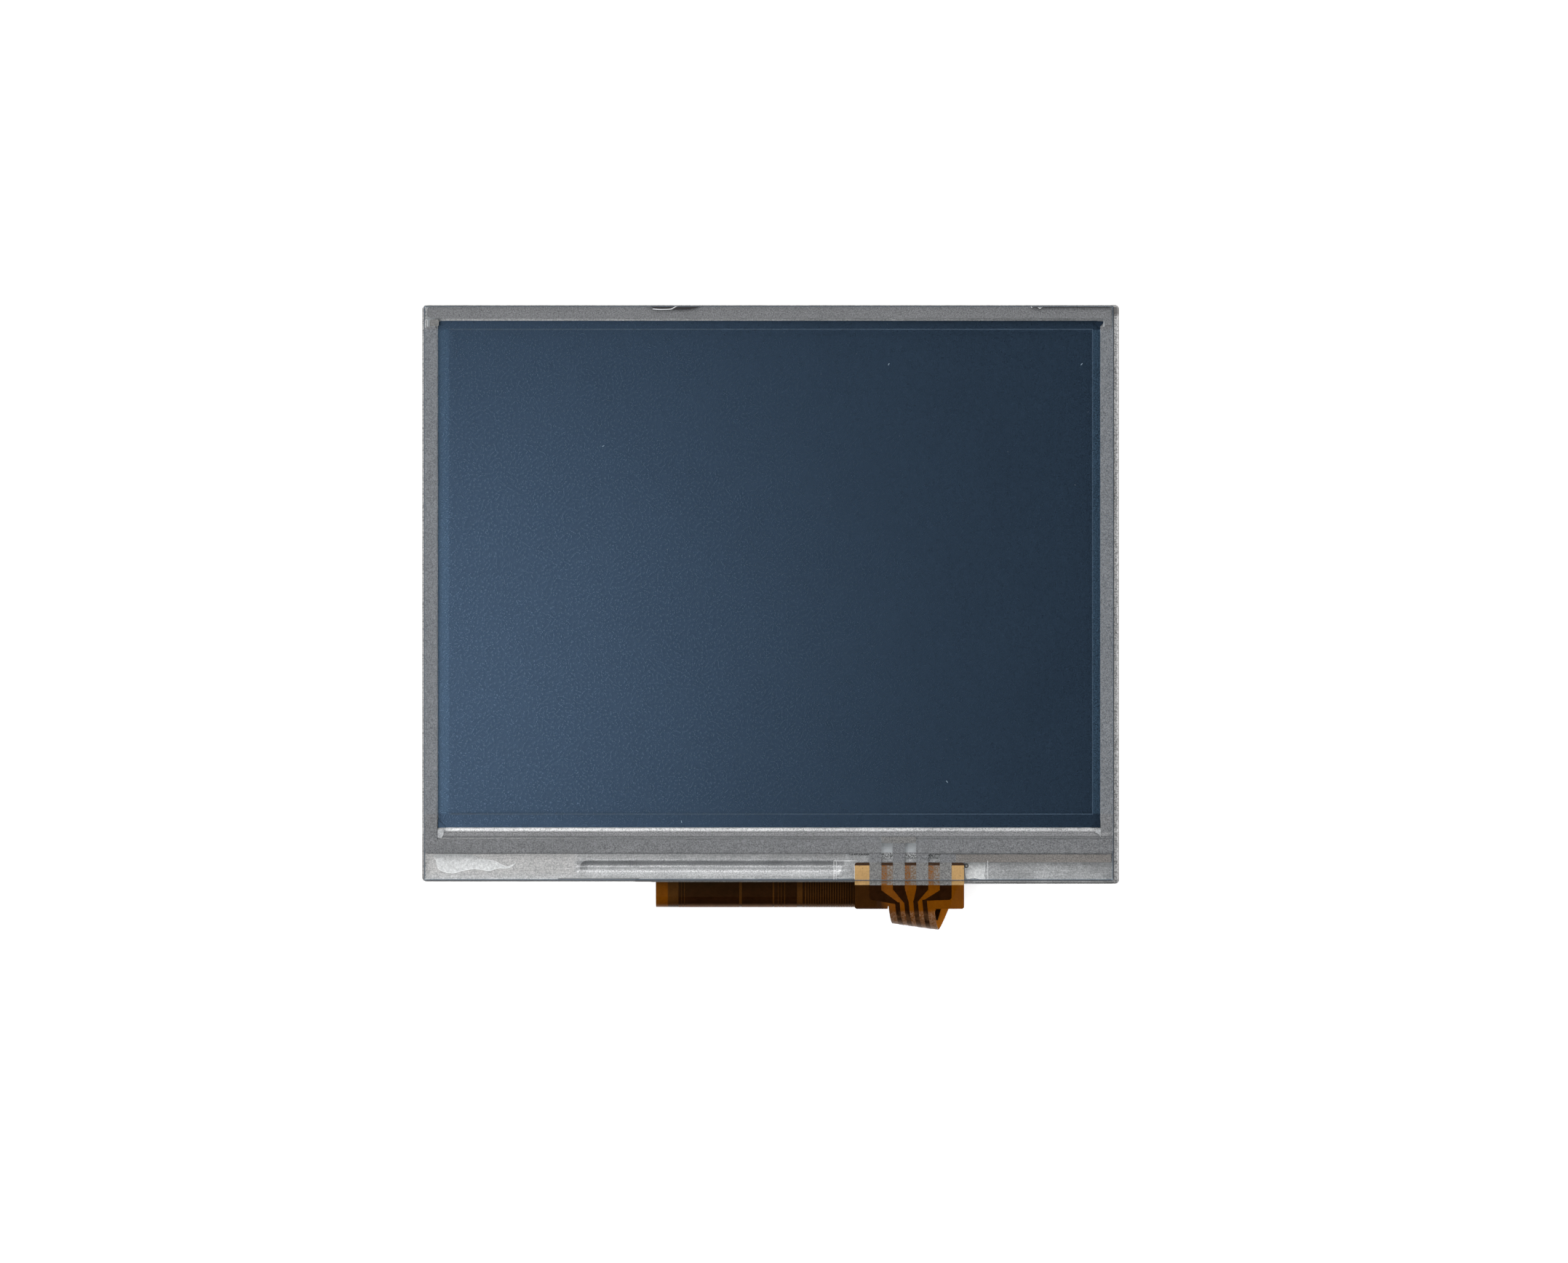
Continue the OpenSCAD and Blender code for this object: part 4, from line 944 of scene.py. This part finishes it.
class DISPLAY_OT_touch_panel(bpy.types.Operator):
    """Builds the laminated touch panel, with the edges of its spacer inside, and finishes its gasket"""

    bl_idname = "display.touch_panel"
    bl_label = "Touch panel"

    # How far the spacer lies behind the edges of film and glass, and the radius of its corners
    RECESS = 0.03 * MM
    CORNER = 0.27 * MM
    # The pocket of the spacer: its reach beyond the head of the flex to the left and the right, and its ends
    # above the lower edge of the panel
    POCKET_LEFT, POCKET_RIGHT = 2.3 * MM, 3.975 * MM
    POCKET_LOW, POCKET_HIGH = 0.12 * MM, 2.16 * MM

    def laminate(self):
        """Film and glass as one clear body, with the spacer set back a little between their edges."""
        core = round_box(*inset(PANEL_LOW, PANEL_HIGH, self.RECESS), self.CORNER)
        sheets = [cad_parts[name].data for name in ("touch_film", "touch_glass")]
        parts = [mesh_from(lambda bm: bm.from_mesh(sheet)) for sheet in sheets]
        parts.append(mesh_from(lambda bm: slab(bm, core, PANEL_HIGH.z - 0.2 * MM, FILM_LOW.z + 0.05 * MM)))
        made = [bpy.data.objects.new("panel_part", mesh) for mesh in parts]
        for piece in made:
            bpy.context.scene.collection.objects.link(piece)
        for other in made[1:]:
            union = made[0].modifiers.new("union", "BOOLEAN")
            union.operation = "UNION"
            union.solver = "EXACT"
            union.object = other
        mesh = evaluated_mesh(made[0])
        for piece in made:
            bpy.data.objects.remove(piece)
        return mesh

    def execute(self, context):
        finish = laminated_panel(context.scene.panel_finish)
        panel = keep("laminated_touch_panel", self.laminate(), finish)
        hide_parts("touch_film", "spacer_tape", "touch_glass")
        plain_sheet("gasket_adhesive")
        # Both edges lie half way up in the spacer
        z = (SPACER_LOW.z + SPACER_HIGH.z) / 2
        left, lower, right, upper = SPACER_HOLE
        left += 0.1 * MM
        hole = [(left, upper), (right, upper), (right, lower), (left, lower)]
        x0, x1 = HEAD_LOW.x - self.POCKET_LEFT, STRIP_HIGH.x + self.POCKET_RIGHT
        y0, y1 = PANEL_LOW.y + self.POCKET_LOW, PANEL_LOW.y + self.POCKET_HIGH
        second, side = x0 + 0.26 * MM, HEAD_LOW.x - 0.02 * MM
        # Paths and widths of the lines round the pocket
        pocket = (
            ([(x0, y0), (x0, y1), (HEAD_LOW.x + 0.1 * MM, y1)], 0.07 * MM),
            ([(second, y0), (second, y1 - 0.05 * MM)], 0.04 * MM),
            ([(x1, y1), (x1, y0)], 0.05 * MM),
            ([(side, HEAD_TOP - 0.4 * MM), (side, y0)], 0.06 * MM),
        )
        for name, lines, finish in (
            ("spacer_inner_edge", ((hole, 0.13 * MM),), "spacer_edge"),
            ("spacer_pocket_edge", pocket, "pocket_edge"),
        ):
            def build(bm):
                for path, width in lines:
                    ribbon(bm, path, width, z - THIN, z)

            keep(name, mesh_from(build), plain_sheet(finish))
        return {"FINISHED"}


class DISPLAY_OT_prints(bpy.types.Operator):
    """Finishes the printed silver conductors and adds their alignment ticks"""

    bl_idname = "display.prints"
    bl_label = "Silver prints"

    # Warmer tint of the leads where the flex is bonded on them
    LEAD_TINT = (1.05, 1.02, 0.96)
    # Heights above the lower edge of the panel: the ticks, the bridge between leads, and the beads of glue
    TICK_ROW = 2.90 * MM
    BRIDGE_LOW, BRIDGE_HIGH = 4.09 * MM, 4.79 * MM
    BEAD_LOW, SIDE_BEAD_LOW, BEAD_HIGH = 2.30 * MM, 2.72 * MM, 3.05 * MM
    # Half the width and half the length of the small loop near the upper left corner
    LOOP_X, LOOP_Y = 0.11 * MM, 0.44 * MM

    def ticks(self, z):
        """Two rows of short printed ticks."""

        def build(t, given):
            along = t.vector(given["Pitch"], 0.0, 0.0)
            inputs = {"Count": given["Count"], "Start Location": given["Start"], "Offset": along}
            line = t.node("GeometryNodeMeshLine", inputs).outputs[0]
            tick = t.box(given["Width"], given["Length"], given["Thickness"], (0.0, 0.0, 0.0))
            return {"Geometry": t.with_material(t.on_points(line, tick), given["Material"])}

        values = {
            "Pitch": 0.26 * MM, "Width": 0.10 * MM, "Length": 0.15 * MM, "Thickness": THIN,
            "Material": plain_sheet("tick_ink"), "Count": 0, "Start": (0.0, 0.0, 0.0),
        }
        group = node_group(Shapes, "Ticks", build, values)
        left, right = HEAD_LOW.x - 0.55 * MM, STRIP_HIGH.x - 2.3 * MM
        for name, count, x in (("left_ticks", 9, left), ("right_ticks", 5, right)):
            values.update(Count=count, Start=(x, PANEL_LOW.y + self.TICK_ROW, z))
            grown(name, group, values)

    def execute(self, context):
        grey = context.scene.panel_finish.print_grey
        paste = silver_print("silver_print", grey, route=True)
        dress(paste, "upper_electrode_print", "lower_electrode_print")
        warm = silver_print("silver_leads", tuple(a * b for a, b in zip(grey, self.LEAD_TINT)))
        dress(warm, "touch_bond_strips")
        z = PANEL_HIGH.z + 0.03 * MM
        self.ticks(z)
        starts = [STRIP_LOW.x + i * LEAD_PITCH for i in range(4)]
        gaps = [(start + LEAD_W, following) for start, following in zip(starts, starts[1:])]
        y = PANEL_LOW.y
        x0, x1, low, high = gaps[0][0], gaps[1][1], y + self.BRIDGE_LOW, y + self.BRIDGE_HIGH
        bridge = [(x0, low), (x1, low), (x1, high), (x0, high)]
        bridge_z = SPACER_LOW.z + 0.015 * MM
        mesh = mesh_from(lambda bm: slab(bm, bridge, bridge_z - 0.02 * MM, bridge_z))
        keep("lead_bridge", mesh, warm)
        beads = [(x0 - 0.1 * MM, x1 + 0.1 * MM, y + self.BEAD_LOW) for x0, x1 in gaps]
        beads.append((HEAD_LOW.x - 0.6 * MM, STRIP_LOW.x + 0.1 * MM, y + self.SIDE_BEAD_LOW))

        def glue(bm):
            for x0, x1, y0 in beads:
                outline = round_box(x0, y0, x1, PANEL_LOW.y + self.BEAD_HIGH, 0.12 * MM, 3)
                slab(bm, outline, GASKET_LOW.z + 0.01 * MM, GASKET_HIGH.z - 0.02 * MM, 0.03 * MM)

        keep("glue_beads", mesh_from(glue), glue_foam())
        x, y = PANEL_LOW.x + 0.24 * MM, PANEL_HIGH.y - 1.95 * MM
        oval = round_box(x - self.LOOP_X, y - self.LOOP_Y, x + self.LOOP_X, y + self.LOOP_Y, 0.1 * MM)
        mesh = mesh_from(lambda bm: ribbon(bm, oval, 0.05 * MM, z, z + THIN, closed=True))
        keep("corner_loop", mesh, plain_sheet("corner_loop"))
        return {"FINISHED"}


class DISPLAY_OT_bezel(bpy.types.Operator):
    """Finishes the bezel sheet and adds the wet patches of the adhesive on it"""

    bl_idname = "display.bezel"
    bl_label = "Bezel"

    # Outlines of both patches, in millimetres from the lower left corner of the bezel
    LEFT_PATCH = (
        (1.64, 3.24), (5.33, 3.24), (6.37, 2.76), (7.89, 2.60), (9.34, 1.96), (10.30, 2.28), (9.50, 1.79),
        (8.46, 1.79), (7.41, 1.51), (5.89, 1.71), (4.53, 1.51), (3.32, 1.23), (1.96, 1.63), (1.64, 2.52),
    )
    RIGHT_PATCH = (
        (59.90, 2.34), (60.30, 2.44), (61.20, 2.40), (61.98, 2.42), (62.08, 1.70), (61.94, 1.10),
        (62.06, 0.52), (61.50, 0.60), (60.80, 0.74), (60.10, 0.66), (59.92, 1.31),
    )
    # Centre and radius of the dark ring of glue in millimetres, its number of points and its width
    RING_X, RING_Y, RING_RADIUS = 60.02, 2.04, 0.19
    RING_POINTS = 20
    RING_WIDTH = 0.12 * MM

    def execute(self, context):
        dress(bezel_steel(context.scene.metal_finish), "front_bezel")
        low, high = GASKET_LOW.z + 0.01 * MM, GASKET_HIGH.z - 0.01 * MM
        corner = Vector((BEZEL_LOW.x, BEZEL_LOW.y))
        left, right = (
            smooth_curve([corner + Vector(p) * MM for p in patch], 6, closed=True)
            for patch in (self.LEFT_PATCH, self.RIGHT_PATCH)
        )
        angles = [math.tau * step / self.RING_POINTS for step in range(self.RING_POINTS)]
        x, y, radius = self.RING_X, self.RING_Y, self.RING_RADIUS
        circle = [corner + Vector((x + radius * math.cos(a), y + radius * math.sin(a))) * MM for a in angles]

        def patches(bm):
            for outline in (left, right):
                slab(bm, outline, low, high - 0.02 * MM, 0.05 * MM)

        def rims(bm):
            ribbon(bm, left, 0.07 * MM, low, high, closed=True)
            ribbon(bm, right, 0.06 * MM, low, high, closed=True)

        def ring(bm):
            ribbon(bm, circle, self.RING_WIDTH, low, high, closed=True)

        for name, build, finish in (
            ("gasket_wet_patches", patches, "wet_adhesive"), ("gasket_wet_rims", rims, "adhesive_rim"),
            ("glue_ring", ring, "glue_ring"),
        ):
            keep(name, mesh_from(build), plain_sheet(finish))
        return {"FINISHED"}


class DISPLAY_OT_display_cell(bpy.types.Operator):
    """Finishes the polarisers, the two glasses, their seal and the driver chip"""

    bl_idname = "display.display_cell"
    bl_label = "Display cell"

    def execute(self, context):
        dress(dark_polariser(context.scene.panel_finish), "front_polariser", "rear_polariser")
        dress(cell_glass(), "colour_filter_glass", "array_glass")
        plain_sheet("seal_resin")
        plain_sheet("driver_silicon")
        return {"FINISHED"}


class DISPLAY_OT_backlight(bpy.types.Operator):
    """Finishes the films, the light guide, the diodes and their strip"""

    bl_idname = "display.backlight"
    bl_label = "Backlight"

    def execute(self, context):
        for name in ("black_tape", "optical_film", "guide_acrylic", "diode_package", "strip_polyimide"):
            plain_sheet(name)
        return {"FINISHED"}


class DISPLAY_OT_rear(bpy.types.Operator):
    """Finishes the white moulding and the back plate"""

    bl_idname = "display.rear"
    bl_label = "Moulding and back plate"

    def execute(self, context):
        settings = context.scene.metal_finish
        dress(white_moulding(settings), "mid_frame")
        dress(back_steel(settings), "back_plate")
        return {"FINISHED"}


class DISPLAY_OT_flexes(bpy.types.Operator):
    """Finishes both flexes, their copper, stiffeners, contacts and mounting pads"""

    bl_idname = "display.flexes"
    bl_label = "Flexible circuits"

    def execute(self, context):
        settings = context.scene.flex_finish
        dress(covered_flex("touch_polyimide", settings, touch=True), "touch_flex")
        dress(covered_flex("main_polyimide", settings, touch=False), "main_flex")
        dress(covered_copper(settings), "touch_flex_copper", "main_flex_copper")
        dress(plated_metal("contact_gold", settings.gold, 0.24), "main_contacts", "touch_contacts")
        plain_sheet("stiffener_sheet")
        plain_sheet("mounting_tape")
        return {"FINISHED"}


class DISPLAY_OT_small_parts(bpy.types.Operator):
    """Builds the rows of small soldered parts on the back of the main flex"""

    bl_idname = "display.small_parts"
    bl_label = "Small parts"

    # Width of a part and length of its tinned ends; the body is a little slimmer, and tucked into them
    WIDTH = 0.55 * MM
    CAP = 0.22 * MM
    SLIMMER = 0.92
    TUCK = 1.6

    def rows(self, name, cad_name, columns, rows, along_x, length, body, ends, slot_name):
        """Rows of small parts: a ceramic body between two tinned ends. The solder that they stand in is not
        built.
        """

        def build(t, given):
            def reach(count, pitch):
                return t.times(t.minus(given[count], 1.0), given[pitch])

            def block(length, width, height, shift, rise):
                if along_x:
                    return t.box(length, width, height, t.vector(shift, 0.0, rise))
                return t.box(width, length, height, t.vector(0.0, shift, rise))

            placed = t.grid(
                reach("Columns", "Pitch X"), reach("Rows", "Pitch Y"), given["Columns"], given["Rows"],
                given["Centre"],
            )
            length, width, height, cap = (given[key] for key in ("Length", "Width", "Height", "Cap"))
            rise = t.times(height, (1.0 - self.SLIMMER) / 2)
            middle = block(
                t.minus(length, t.times(cap, self.TUCK)), t.times(width, self.SLIMMER),
                t.times(height, self.SLIMMER), 0.0, rise,
            )
            shift = t.times(t.minus(length, cap), 0.5)
            both = t.joined(*(block(cap, width, height, way, 0.0) for way in (shift, t.times(shift, -1.0))))
            shape = t.joined(
                t.with_material(middle, given["Body Material"]), t.with_material(both, given["End Material"]),
            )
            return {"Geometry": t.on_points(placed, shape)}

        low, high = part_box(cad_name)
        size = high - low
        reach_x, reach_y = (length, self.WIDTH) if along_x else (self.WIDTH, length)
        values = {
            "Columns": columns, "Rows": rows, "Centre": tuple((low + high) / 2),
            "Pitch X": (size.x - reach_x) / max(1, columns - 1),
            "Pitch Y": (size.y - reach_y) / max(1, rows - 1),
            "Length": length, "Width": self.WIDTH, "Height": size.z, "Cap": self.CAP,
            "Body Material": body, "End Material": ends,
        }
        made = grown(name, node_group(Shapes, name + " rows", build, values), values)
        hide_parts(cad_name)

    def execute(self, context):
        tin = plated_metal("tinned_ends", (0.80, 0.80, 0.79), 0.3)
        ceramic, black = plain_sheet("capacitor_ceramic"), plain_sheet("resistor_glaze")
        self.rows("capacitors", "flex_capacitors", 7, 2, True, 1.0 * MM, ceramic, tin, "ceramic")
        self.rows("resistors", "flex_resistors", 4, 1, False, 1.1 * MM, black, tin, "resistor_black")
        return {"FINISHED"}


class DISPLAY_OT_marks(bpy.types.Operator):
    """Adds spacer dots, dust, the fibre and the small nicks of the panel's edge, with painted highlights at
    the nick, the chip and the window's lip
    """

    bl_idname = "display.marks"
    bl_label = "Small marks"

    # Larger flakes on the film: x and y in millimetres, and the way that each lies
    FLAKES = (
        (13.0, 25.3, 1.1), (34.2, 25.3, 0.9), (-9.8, -25.0, 1.8), (19.4, -20.6, 2.2), (-18.4, 16.3, 0.5),
    )
    FLAKE_HALF, FLAKE_WIDTH = 0.13 * MM, 0.06 * MM
    # Proportions of a speck of dust, the smallest beside the largest, and a full turn
    SPECK_SHAPE = (1.0, 0.7, 0.12)
    SMALLEST = 0.25
    FULL_TURN = 6.28
    # Distance of the outer spacer dots from the window's edge
    DOT_MARGIN = 1.6 * MM
    # Fillets at the corners of the window, and painted highlights at the ends of its lip, in millimetres from
    # each corner
    NOTCH = ((-0.9, 0.0), (0.32, -0.08), (0.30, -0.32), (0.0, -0.62), (0.0, -0.9))
    RIGHT_FILLET = ((0.0, 0.0), (0.0, 0.9), (-0.9, 0.0))
    LEFT_FILLET = ((0.0, 0.9), (0.0, 0.0), (0.9, 0.0))
    LEFT_LIP_HIGHLIGHT = ((0.03, -0.15), (0.72, -0.15), (0.68, -0.75), (0.45, -1.10), (0.03, -1.05))
    RIGHT_LIP_HIGHLIGHT = ((-0.75, -0.40), (0.0, -0.12), (-0.02, -1.02), (-0.22, -0.70))
    # The short bridge in the upper left print: left, lower, right and upper side
    PRINT_BRIDGE = (-37.50 * MM, 29.52 * MM, -36.50 * MM, 30.22 * MM)
    # Marks at the upper edge of the panel: x, and height from that edge, in millimetres
    EDGE_NOTCH = (
        (-13.3, -0.02), (-7.7, -0.02), (-8.2, -0.20), (-9.0, -0.35), (-10.6, -0.38), (-11.6, -0.30),
        (-12.8, -0.24),
    )
    NICK = ((28.75, -0.20), (29.2, -0.15), (29.62, -0.38), (30.0, -0.15), (33.0, -0.14), (37.5, -0.17))
    # White sliver along the chip: a fibre, and a painted highlight of the chipped edge
    FIBRE_AND_HIGHLIGHT = (
        (-12.95, -0.32), (-12.1, -0.38), (-11.1, -0.35), (-10.8, -0.28), (-10.55, -0.13), (-10.25, -0.02),
    )
    # Painted highlights on the edges of the V-shaped nick
    TIP = ((29.48, -0.18), (29.62, -0.30), (29.76, -0.18))
    BURR = ((28.58, 0.0), (28.68, -0.10), (28.76, -0.19))

    def dots(self, settings):
        """The rows of spacer dots between film and glass."""

        def build(t, given):
            placed = t.grid(given["Width"], given["Height"], given["Columns"], given["Rows"], given["Centre"])
            inputs = {"Vertices": 8, "Radius": t.times(given["Diameter"], 0.5), "Depth": given["Thickness"]}
            dot = t.node("GeometryNodeMeshCylinder", inputs).outputs["Mesh"]
            return {"Geometry": t.with_material(t.on_points(placed, dot), given["Material"])}

        left, low = WINDOW[0] + self.DOT_MARGIN, WINDOW[1] + self.DOT_MARGIN
        right, high = WINDOW[2] - self.DOT_MARGIN, WINDOW[3] - self.DOT_MARGIN
        z = (SPACER_LOW.z + SPACER_HIGH.z) / 2 - 0.005 * MM
        values = {
            "Width": right - left, "Height": high - low,
            "Columns": round((right - left) / settings.dot_pitch) + 1,
            "Rows": round((high - low) / settings.dot_pitch) + 1,
            "Centre": ((left + right) / 2, (low + high) / 2, z),
            "Diameter": settings.dot_size, "Thickness": 0.02 * MM,
            "Material": plain_sheet("dot_resin"),
        }
        grown("spacer_dots", node_group(Shapes, "Spacer dots", build, values), values)

    def dust(self, settings):
        """Fine dust that lies on the film at random."""

        def build(t, given):
            width, height, seed = given["Width"], given["Height"], given["Seed"]
            placed = t.grid(width, height, 2, 2, given["Centre"])
            density = t.math("DIVIDE", given["Count"], t.times(width, height))
            inputs = {"Mesh": placed, "Density": density, "Seed": seed}
            points = t.node("GeometryNodeDistributePointsOnFaces", inputs).outputs["Points"]
            inputs = {"Radius": t.times(given["Diameter"], 0.5), "Subdivisions": 1}
            ball = t.node("GeometryNodeMeshIcoSphere", inputs).outputs["Mesh"]
            flake = t.moved(ball, Scale=self.SPECK_SHAPE)
            inputs = {2: self.SMALLEST, 3: 1.0, 7: 0, 8: seed}
            size = t.node("FunctionNodeRandomValue", inputs, data_type="FLOAT").outputs[1]
            inputs = {0: (0.0, 0.0, 0.0), 1: (0.0, 0.0, self.FULL_TURN), 7: 1, 8: seed}
            turn = t.node("FunctionNodeRandomValue", inputs, data_type="FLOAT_VECTOR").outputs[0]
            lying = t.on_points(points, flake, Scale=size, Rotation=turn)
            return {"Geometry": t.with_material(lying, given["Material"])}

        size, centre = FILM_HIGH - FILM_LOW, (FILM_LOW + FILM_HIGH) / 2
        values = {
            "Width": size.x - 2 * MM, "Height": size.y - 2 * MM,
            "Count": settings.speck_count, "Seed": settings.speck_seed,
            "Centre": (centre.x, centre.y, FILM_HIGH.z - 0.02 * MM), "Diameter": settings.speck_size,
            "Material": plain_sheet("dust_lint"),
        }
        grown("film_dust", node_group(Shapes, "Film dust", build, values), values)

    def flakes(self):
        """The few larger flakes of lint on the film, each a short dash."""
        high = FILM_HIGH.z - 0.004 * MM

        def build(bm):
            for x, y, angle in self.FLAKES:
                way = Vector((math.cos(angle), math.sin(angle))) * self.FLAKE_HALF
                middle = Vector((x, y)) * MM
                path = (middle - way, middle + way * 0.2, middle + way)
                ribbon(bm, path, self.FLAKE_WIDTH, high - 0.02 * MM, high)

        keep("film_flakes", mesh_from(build), plain_sheet("pale_lint"))

    def corners(self, settings):
        """Fills the corners of the window, paints highlights at the ends of its lip and bridges the upper
        left print.
        """
        left, lower, right, upper = WINDOW
        fillets = (
            beside(right, upper, self.NOTCH), beside(right, lower, self.RIGHT_FILLET),
            beside(left, lower, self.LEFT_FILLET),
        )
        lip_highlights = (beside(left, lower, self.LEFT_LIP_HIGHLIGHT), beside(right, lower, self.RIGHT_LIP_HIGHLIGHT))
        gap = (round_box(*self.PRINT_BRIDGE, 0.12 * MM),)
        dark = dark_polariser(settings)
        bright = plain_sheet("bright_steel", Metallic=0.3)
        leads = bpy.data.materials["silver_leads"]
        for name, outlines, z, slot_name, finish in (
            ("window_corners", fillets, PANEL_LOW.z + 0.02 * MM, "dark_polariser", dark),
            # Painted highlights at both ends of the window's lip
            ("lip_ends", lip_highlights, FILM_LOW.z + 0.01 * MM, "bezel_steel", bright),
            ("print_bridge", gap, FILM_LOW.z - 0.015 * MM, "silver_print", leads),
        ):
            def build(bm):
                for outline in outlines:
                    slab(bm, outline, z, z + THIN)

            keep(name, mesh_from(build), finish)

    def edge_marks(self):
        """Chips, a nick and a fibre at the upper edge of the panel; its white slivers are also a painted
        highlight of the chipped edges.
        """
        notch, nick, fibre_and_highlight, tip, burr = (
            beside(0.0, PANEL_HIGH.y, points)
            for points in (self.EDGE_NOTCH, self.NICK, self.FIBRE_AND_HIGHLIGHT, self.TIP, self.BURR)
        )
        high = FILM_HIGH.z - 0.005 * MM

        def chips(bm):
            slab(bm, notch, high - 0.1 * MM, high)
            ribbon(bm, nick, 0.07 * MM, high - 0.1 * MM, high)

        # White slivers: the fibre, and painted highlights on the chip and the nick
        def threads(bm):
            for path, width in ((smooth_curve(fibre_and_highlight, 5, closed=False), 0.08), (tip, 0.06), (burr, 0.06)):
                ribbon(bm, path, width * MM, high - 0.03 * MM, high + 0.003 * MM)

        keep("panel_edge_chips", mesh_from(chips), plain_sheet("edge_chips"))
        keep("edge_fibre", mesh_from(threads), plain_sheet("edge_lint"))

    def execute(self, context):
        settings = context.scene.mark_settings
        self.dots(settings)
        self.dust(settings)
        self.flakes()
        self.corners(context.scene.panel_finish)
        self.edge_marks()
        return {"FINISHED"}


class DISPLAY_OT_stage(bpy.types.Operator):
    """Sets the floor, the room light, the lamps and the camera"""

    bl_idname = "display.stage"
    bl_label = "Stage"

    FLOOR_REACH = 1.5
    FLOOR_GAP = 0.01 * MM
    FLOOR_GLOW = 0.75
    # Where the bright side of the room turns into the dark one, and where the ceiling starts
    SIDE_TURN = (-0.2, 0.2)
    CEILING_TURN = (0.86, 0.95)
    # Name, place, width and height of each lamp, all in metres, and the setting of its power
    LAMPS = (
        ("left_lamp", (-0.19, -0.04, 0.44), 0.12, 0.36, "key"),
        ("top_lamp", (0.02, 0.27, 0.42), 0.5, 0.12, "back"),
    )
    LENS = 100.0
    SENSOR = 36.0
    NEAREST = 0.01

    def floor_finish(self):
        """Pale matte floor that looks white, and lights nothing."""
        t = Finish("pale_floor")
        rays = t.node("ShaderNodeLightPath").outputs
        seen = t.math("MAXIMUM", rays["Is Camera Ray"], rays["Is Glossy Ray"])
        seen = t.math("MAXIMUM", seen, rays["Is Transmission Ray"])
        grain = t.mottle(size=40 * MM, amount=0.01, detail=2.0)
        return t.done(
            t.scaled((0.94, 0.94, 0.94), grain["Shade"]), 0.9,
            Emission_Color=(1.0, 1.0, 1.0), Emission_Strength=t.times(seen, self.FLOOR_GLOW),
        )

    def floor(self, scene):
        reach, z = self.FLOOR_REACH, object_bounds()[0][2] - self.FLOOR_GAP
        mesh = bpy.data.meshes.new("floor")
        corners = [(-reach, -reach, z), (reach, -reach, z), (reach, reach, z), (-reach, reach, z)]
        mesh.from_pydata(corners, [], [(0, 1, 2, 3)])
        mesh.materials.append(self.floor_finish())
        floor = bpy.data.objects.new("floor", mesh)
        scene.collection.objects.link(floor)
        floor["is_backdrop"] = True

    def room(self, scene, settings):
        """A room that is bright on the upper side, darker below and overhead, and white to the camera."""
        scene.world = bpy.data.worlds.new("room")
        scene.world.use_nodes = True
        t = Nodes(scene.world.node_tree)
        t.tree.nodes.clear()
        way = t.node("ShaderNodeTexCoord").outputs["Generated"]
        sides = t.spread(t.part(way, "Y"), *self.SIDE_TURN, settings.shade, settings.room)
        room = t.spread(t.part(way, "Z"), *self.CEILING_TURN, sides, settings.ceiling)
        seen = t.node("ShaderNodeLightPath").outputs["Is Camera Ray"]
        strength = t.math("MAXIMUM", room, seen)
        light = t.node("ShaderNodeBackground", {"Color": (1.0, 1.0, 1.0), "Strength": strength})
        t.node("ShaderNodeOutputWorld", {"Surface": light.outputs[0]})
        t.lay_out()

    def lamp(self, scene, name, place, width, height, power):
        """A rectangular lamp that aims at the module."""
        light = bpy.data.lights.new(name, "AREA")
        light.shape = "RECTANGLE"
        light.size = width
        light.size_y = height
        light.energy = power
        lamp = bpy.data.objects.new(name, light)
        scene.collection.objects.link(lamp)
        lamp.location = place
        lamp.rotation_euler = (-Vector(place)).to_track_quat("-Z", "Y").to_euler()

    def camera(self, scene, settings):
        lens = bpy.data.cameras.new("camera")
        lens.lens = self.LENS
        lens.sensor_width = self.SENSOR
        lens.clip_start = self.NEAREST
        camera = bpy.data.objects.new("camera", lens)
        scene.collection.objects.link(camera)
        camera.location = (settings.camera_x, settings.camera_y, BEZEL_HIGH.z + settings.camera_height)
        scene.camera = camera

    def execute(self, context):
        scene = context.scene
        settings = scene.stage_settings
        self.floor(scene)
        self.room(scene, settings)
        for name, place, width, height, power in self.LAMPS:
            self.lamp(scene, name, place, width, height, getattr(settings, power))
        self.camera(scene, settings)
        scene.view_settings.view_transform = "Standard"
        return {"FINISHED"}


OPERATORS = (
    DISPLAY_OT_touch_panel, DISPLAY_OT_prints, DISPLAY_OT_bezel, DISPLAY_OT_display_cell,
    DISPLAY_OT_backlight, DISPLAY_OT_rear, DISPLAY_OT_flexes, DISPLAY_OT_small_parts, DISPLAY_OT_marks,
    DISPLAY_OT_stage,
)


class DISPLAY_PT_panel(bpy.types.Panel):
    """Lists the pieces and settings of the display module"""

    bl_label = "Display module"
    bl_idname = "DISPLAY_PT_panel"
    bl_space_type = "VIEW_3D"
    bl_region_type = "UI"
    bl_category = "Display"

    def draw(self, context):
        for name, group in GROUPS.items():
            column = self.layout.column(align=True)
            for key in group.__annotations__:
                column.prop(getattr(context.scene, name), key)
        for operator in OPERATORS:
            self.layout.operator(operator.bl_idname)


def register():
    for name, group in GROUPS.items():
        bpy.utils.register_class(group)
        setattr(bpy.types.Scene, name, PointerProperty(type=group))
    for made in OPERATORS + (DISPLAY_PT_panel,):
        bpy.utils.register_class(made)


def unregister():
    for made in reversed(OPERATORS + (DISPLAY_PT_panel,)):
        bpy.utils.unregister_class(made)
    for name, group in GROUPS.items():
        delattr(bpy.types.Scene, name)
        bpy.utils.unregister_class(group)


def main():
    register()
    for operator in OPERATORS:
        group, name = operator.bl_idname.split(".")
        getattr(getattr(bpy.ops, group), name)()


if __name__ == "__main__":
    main()
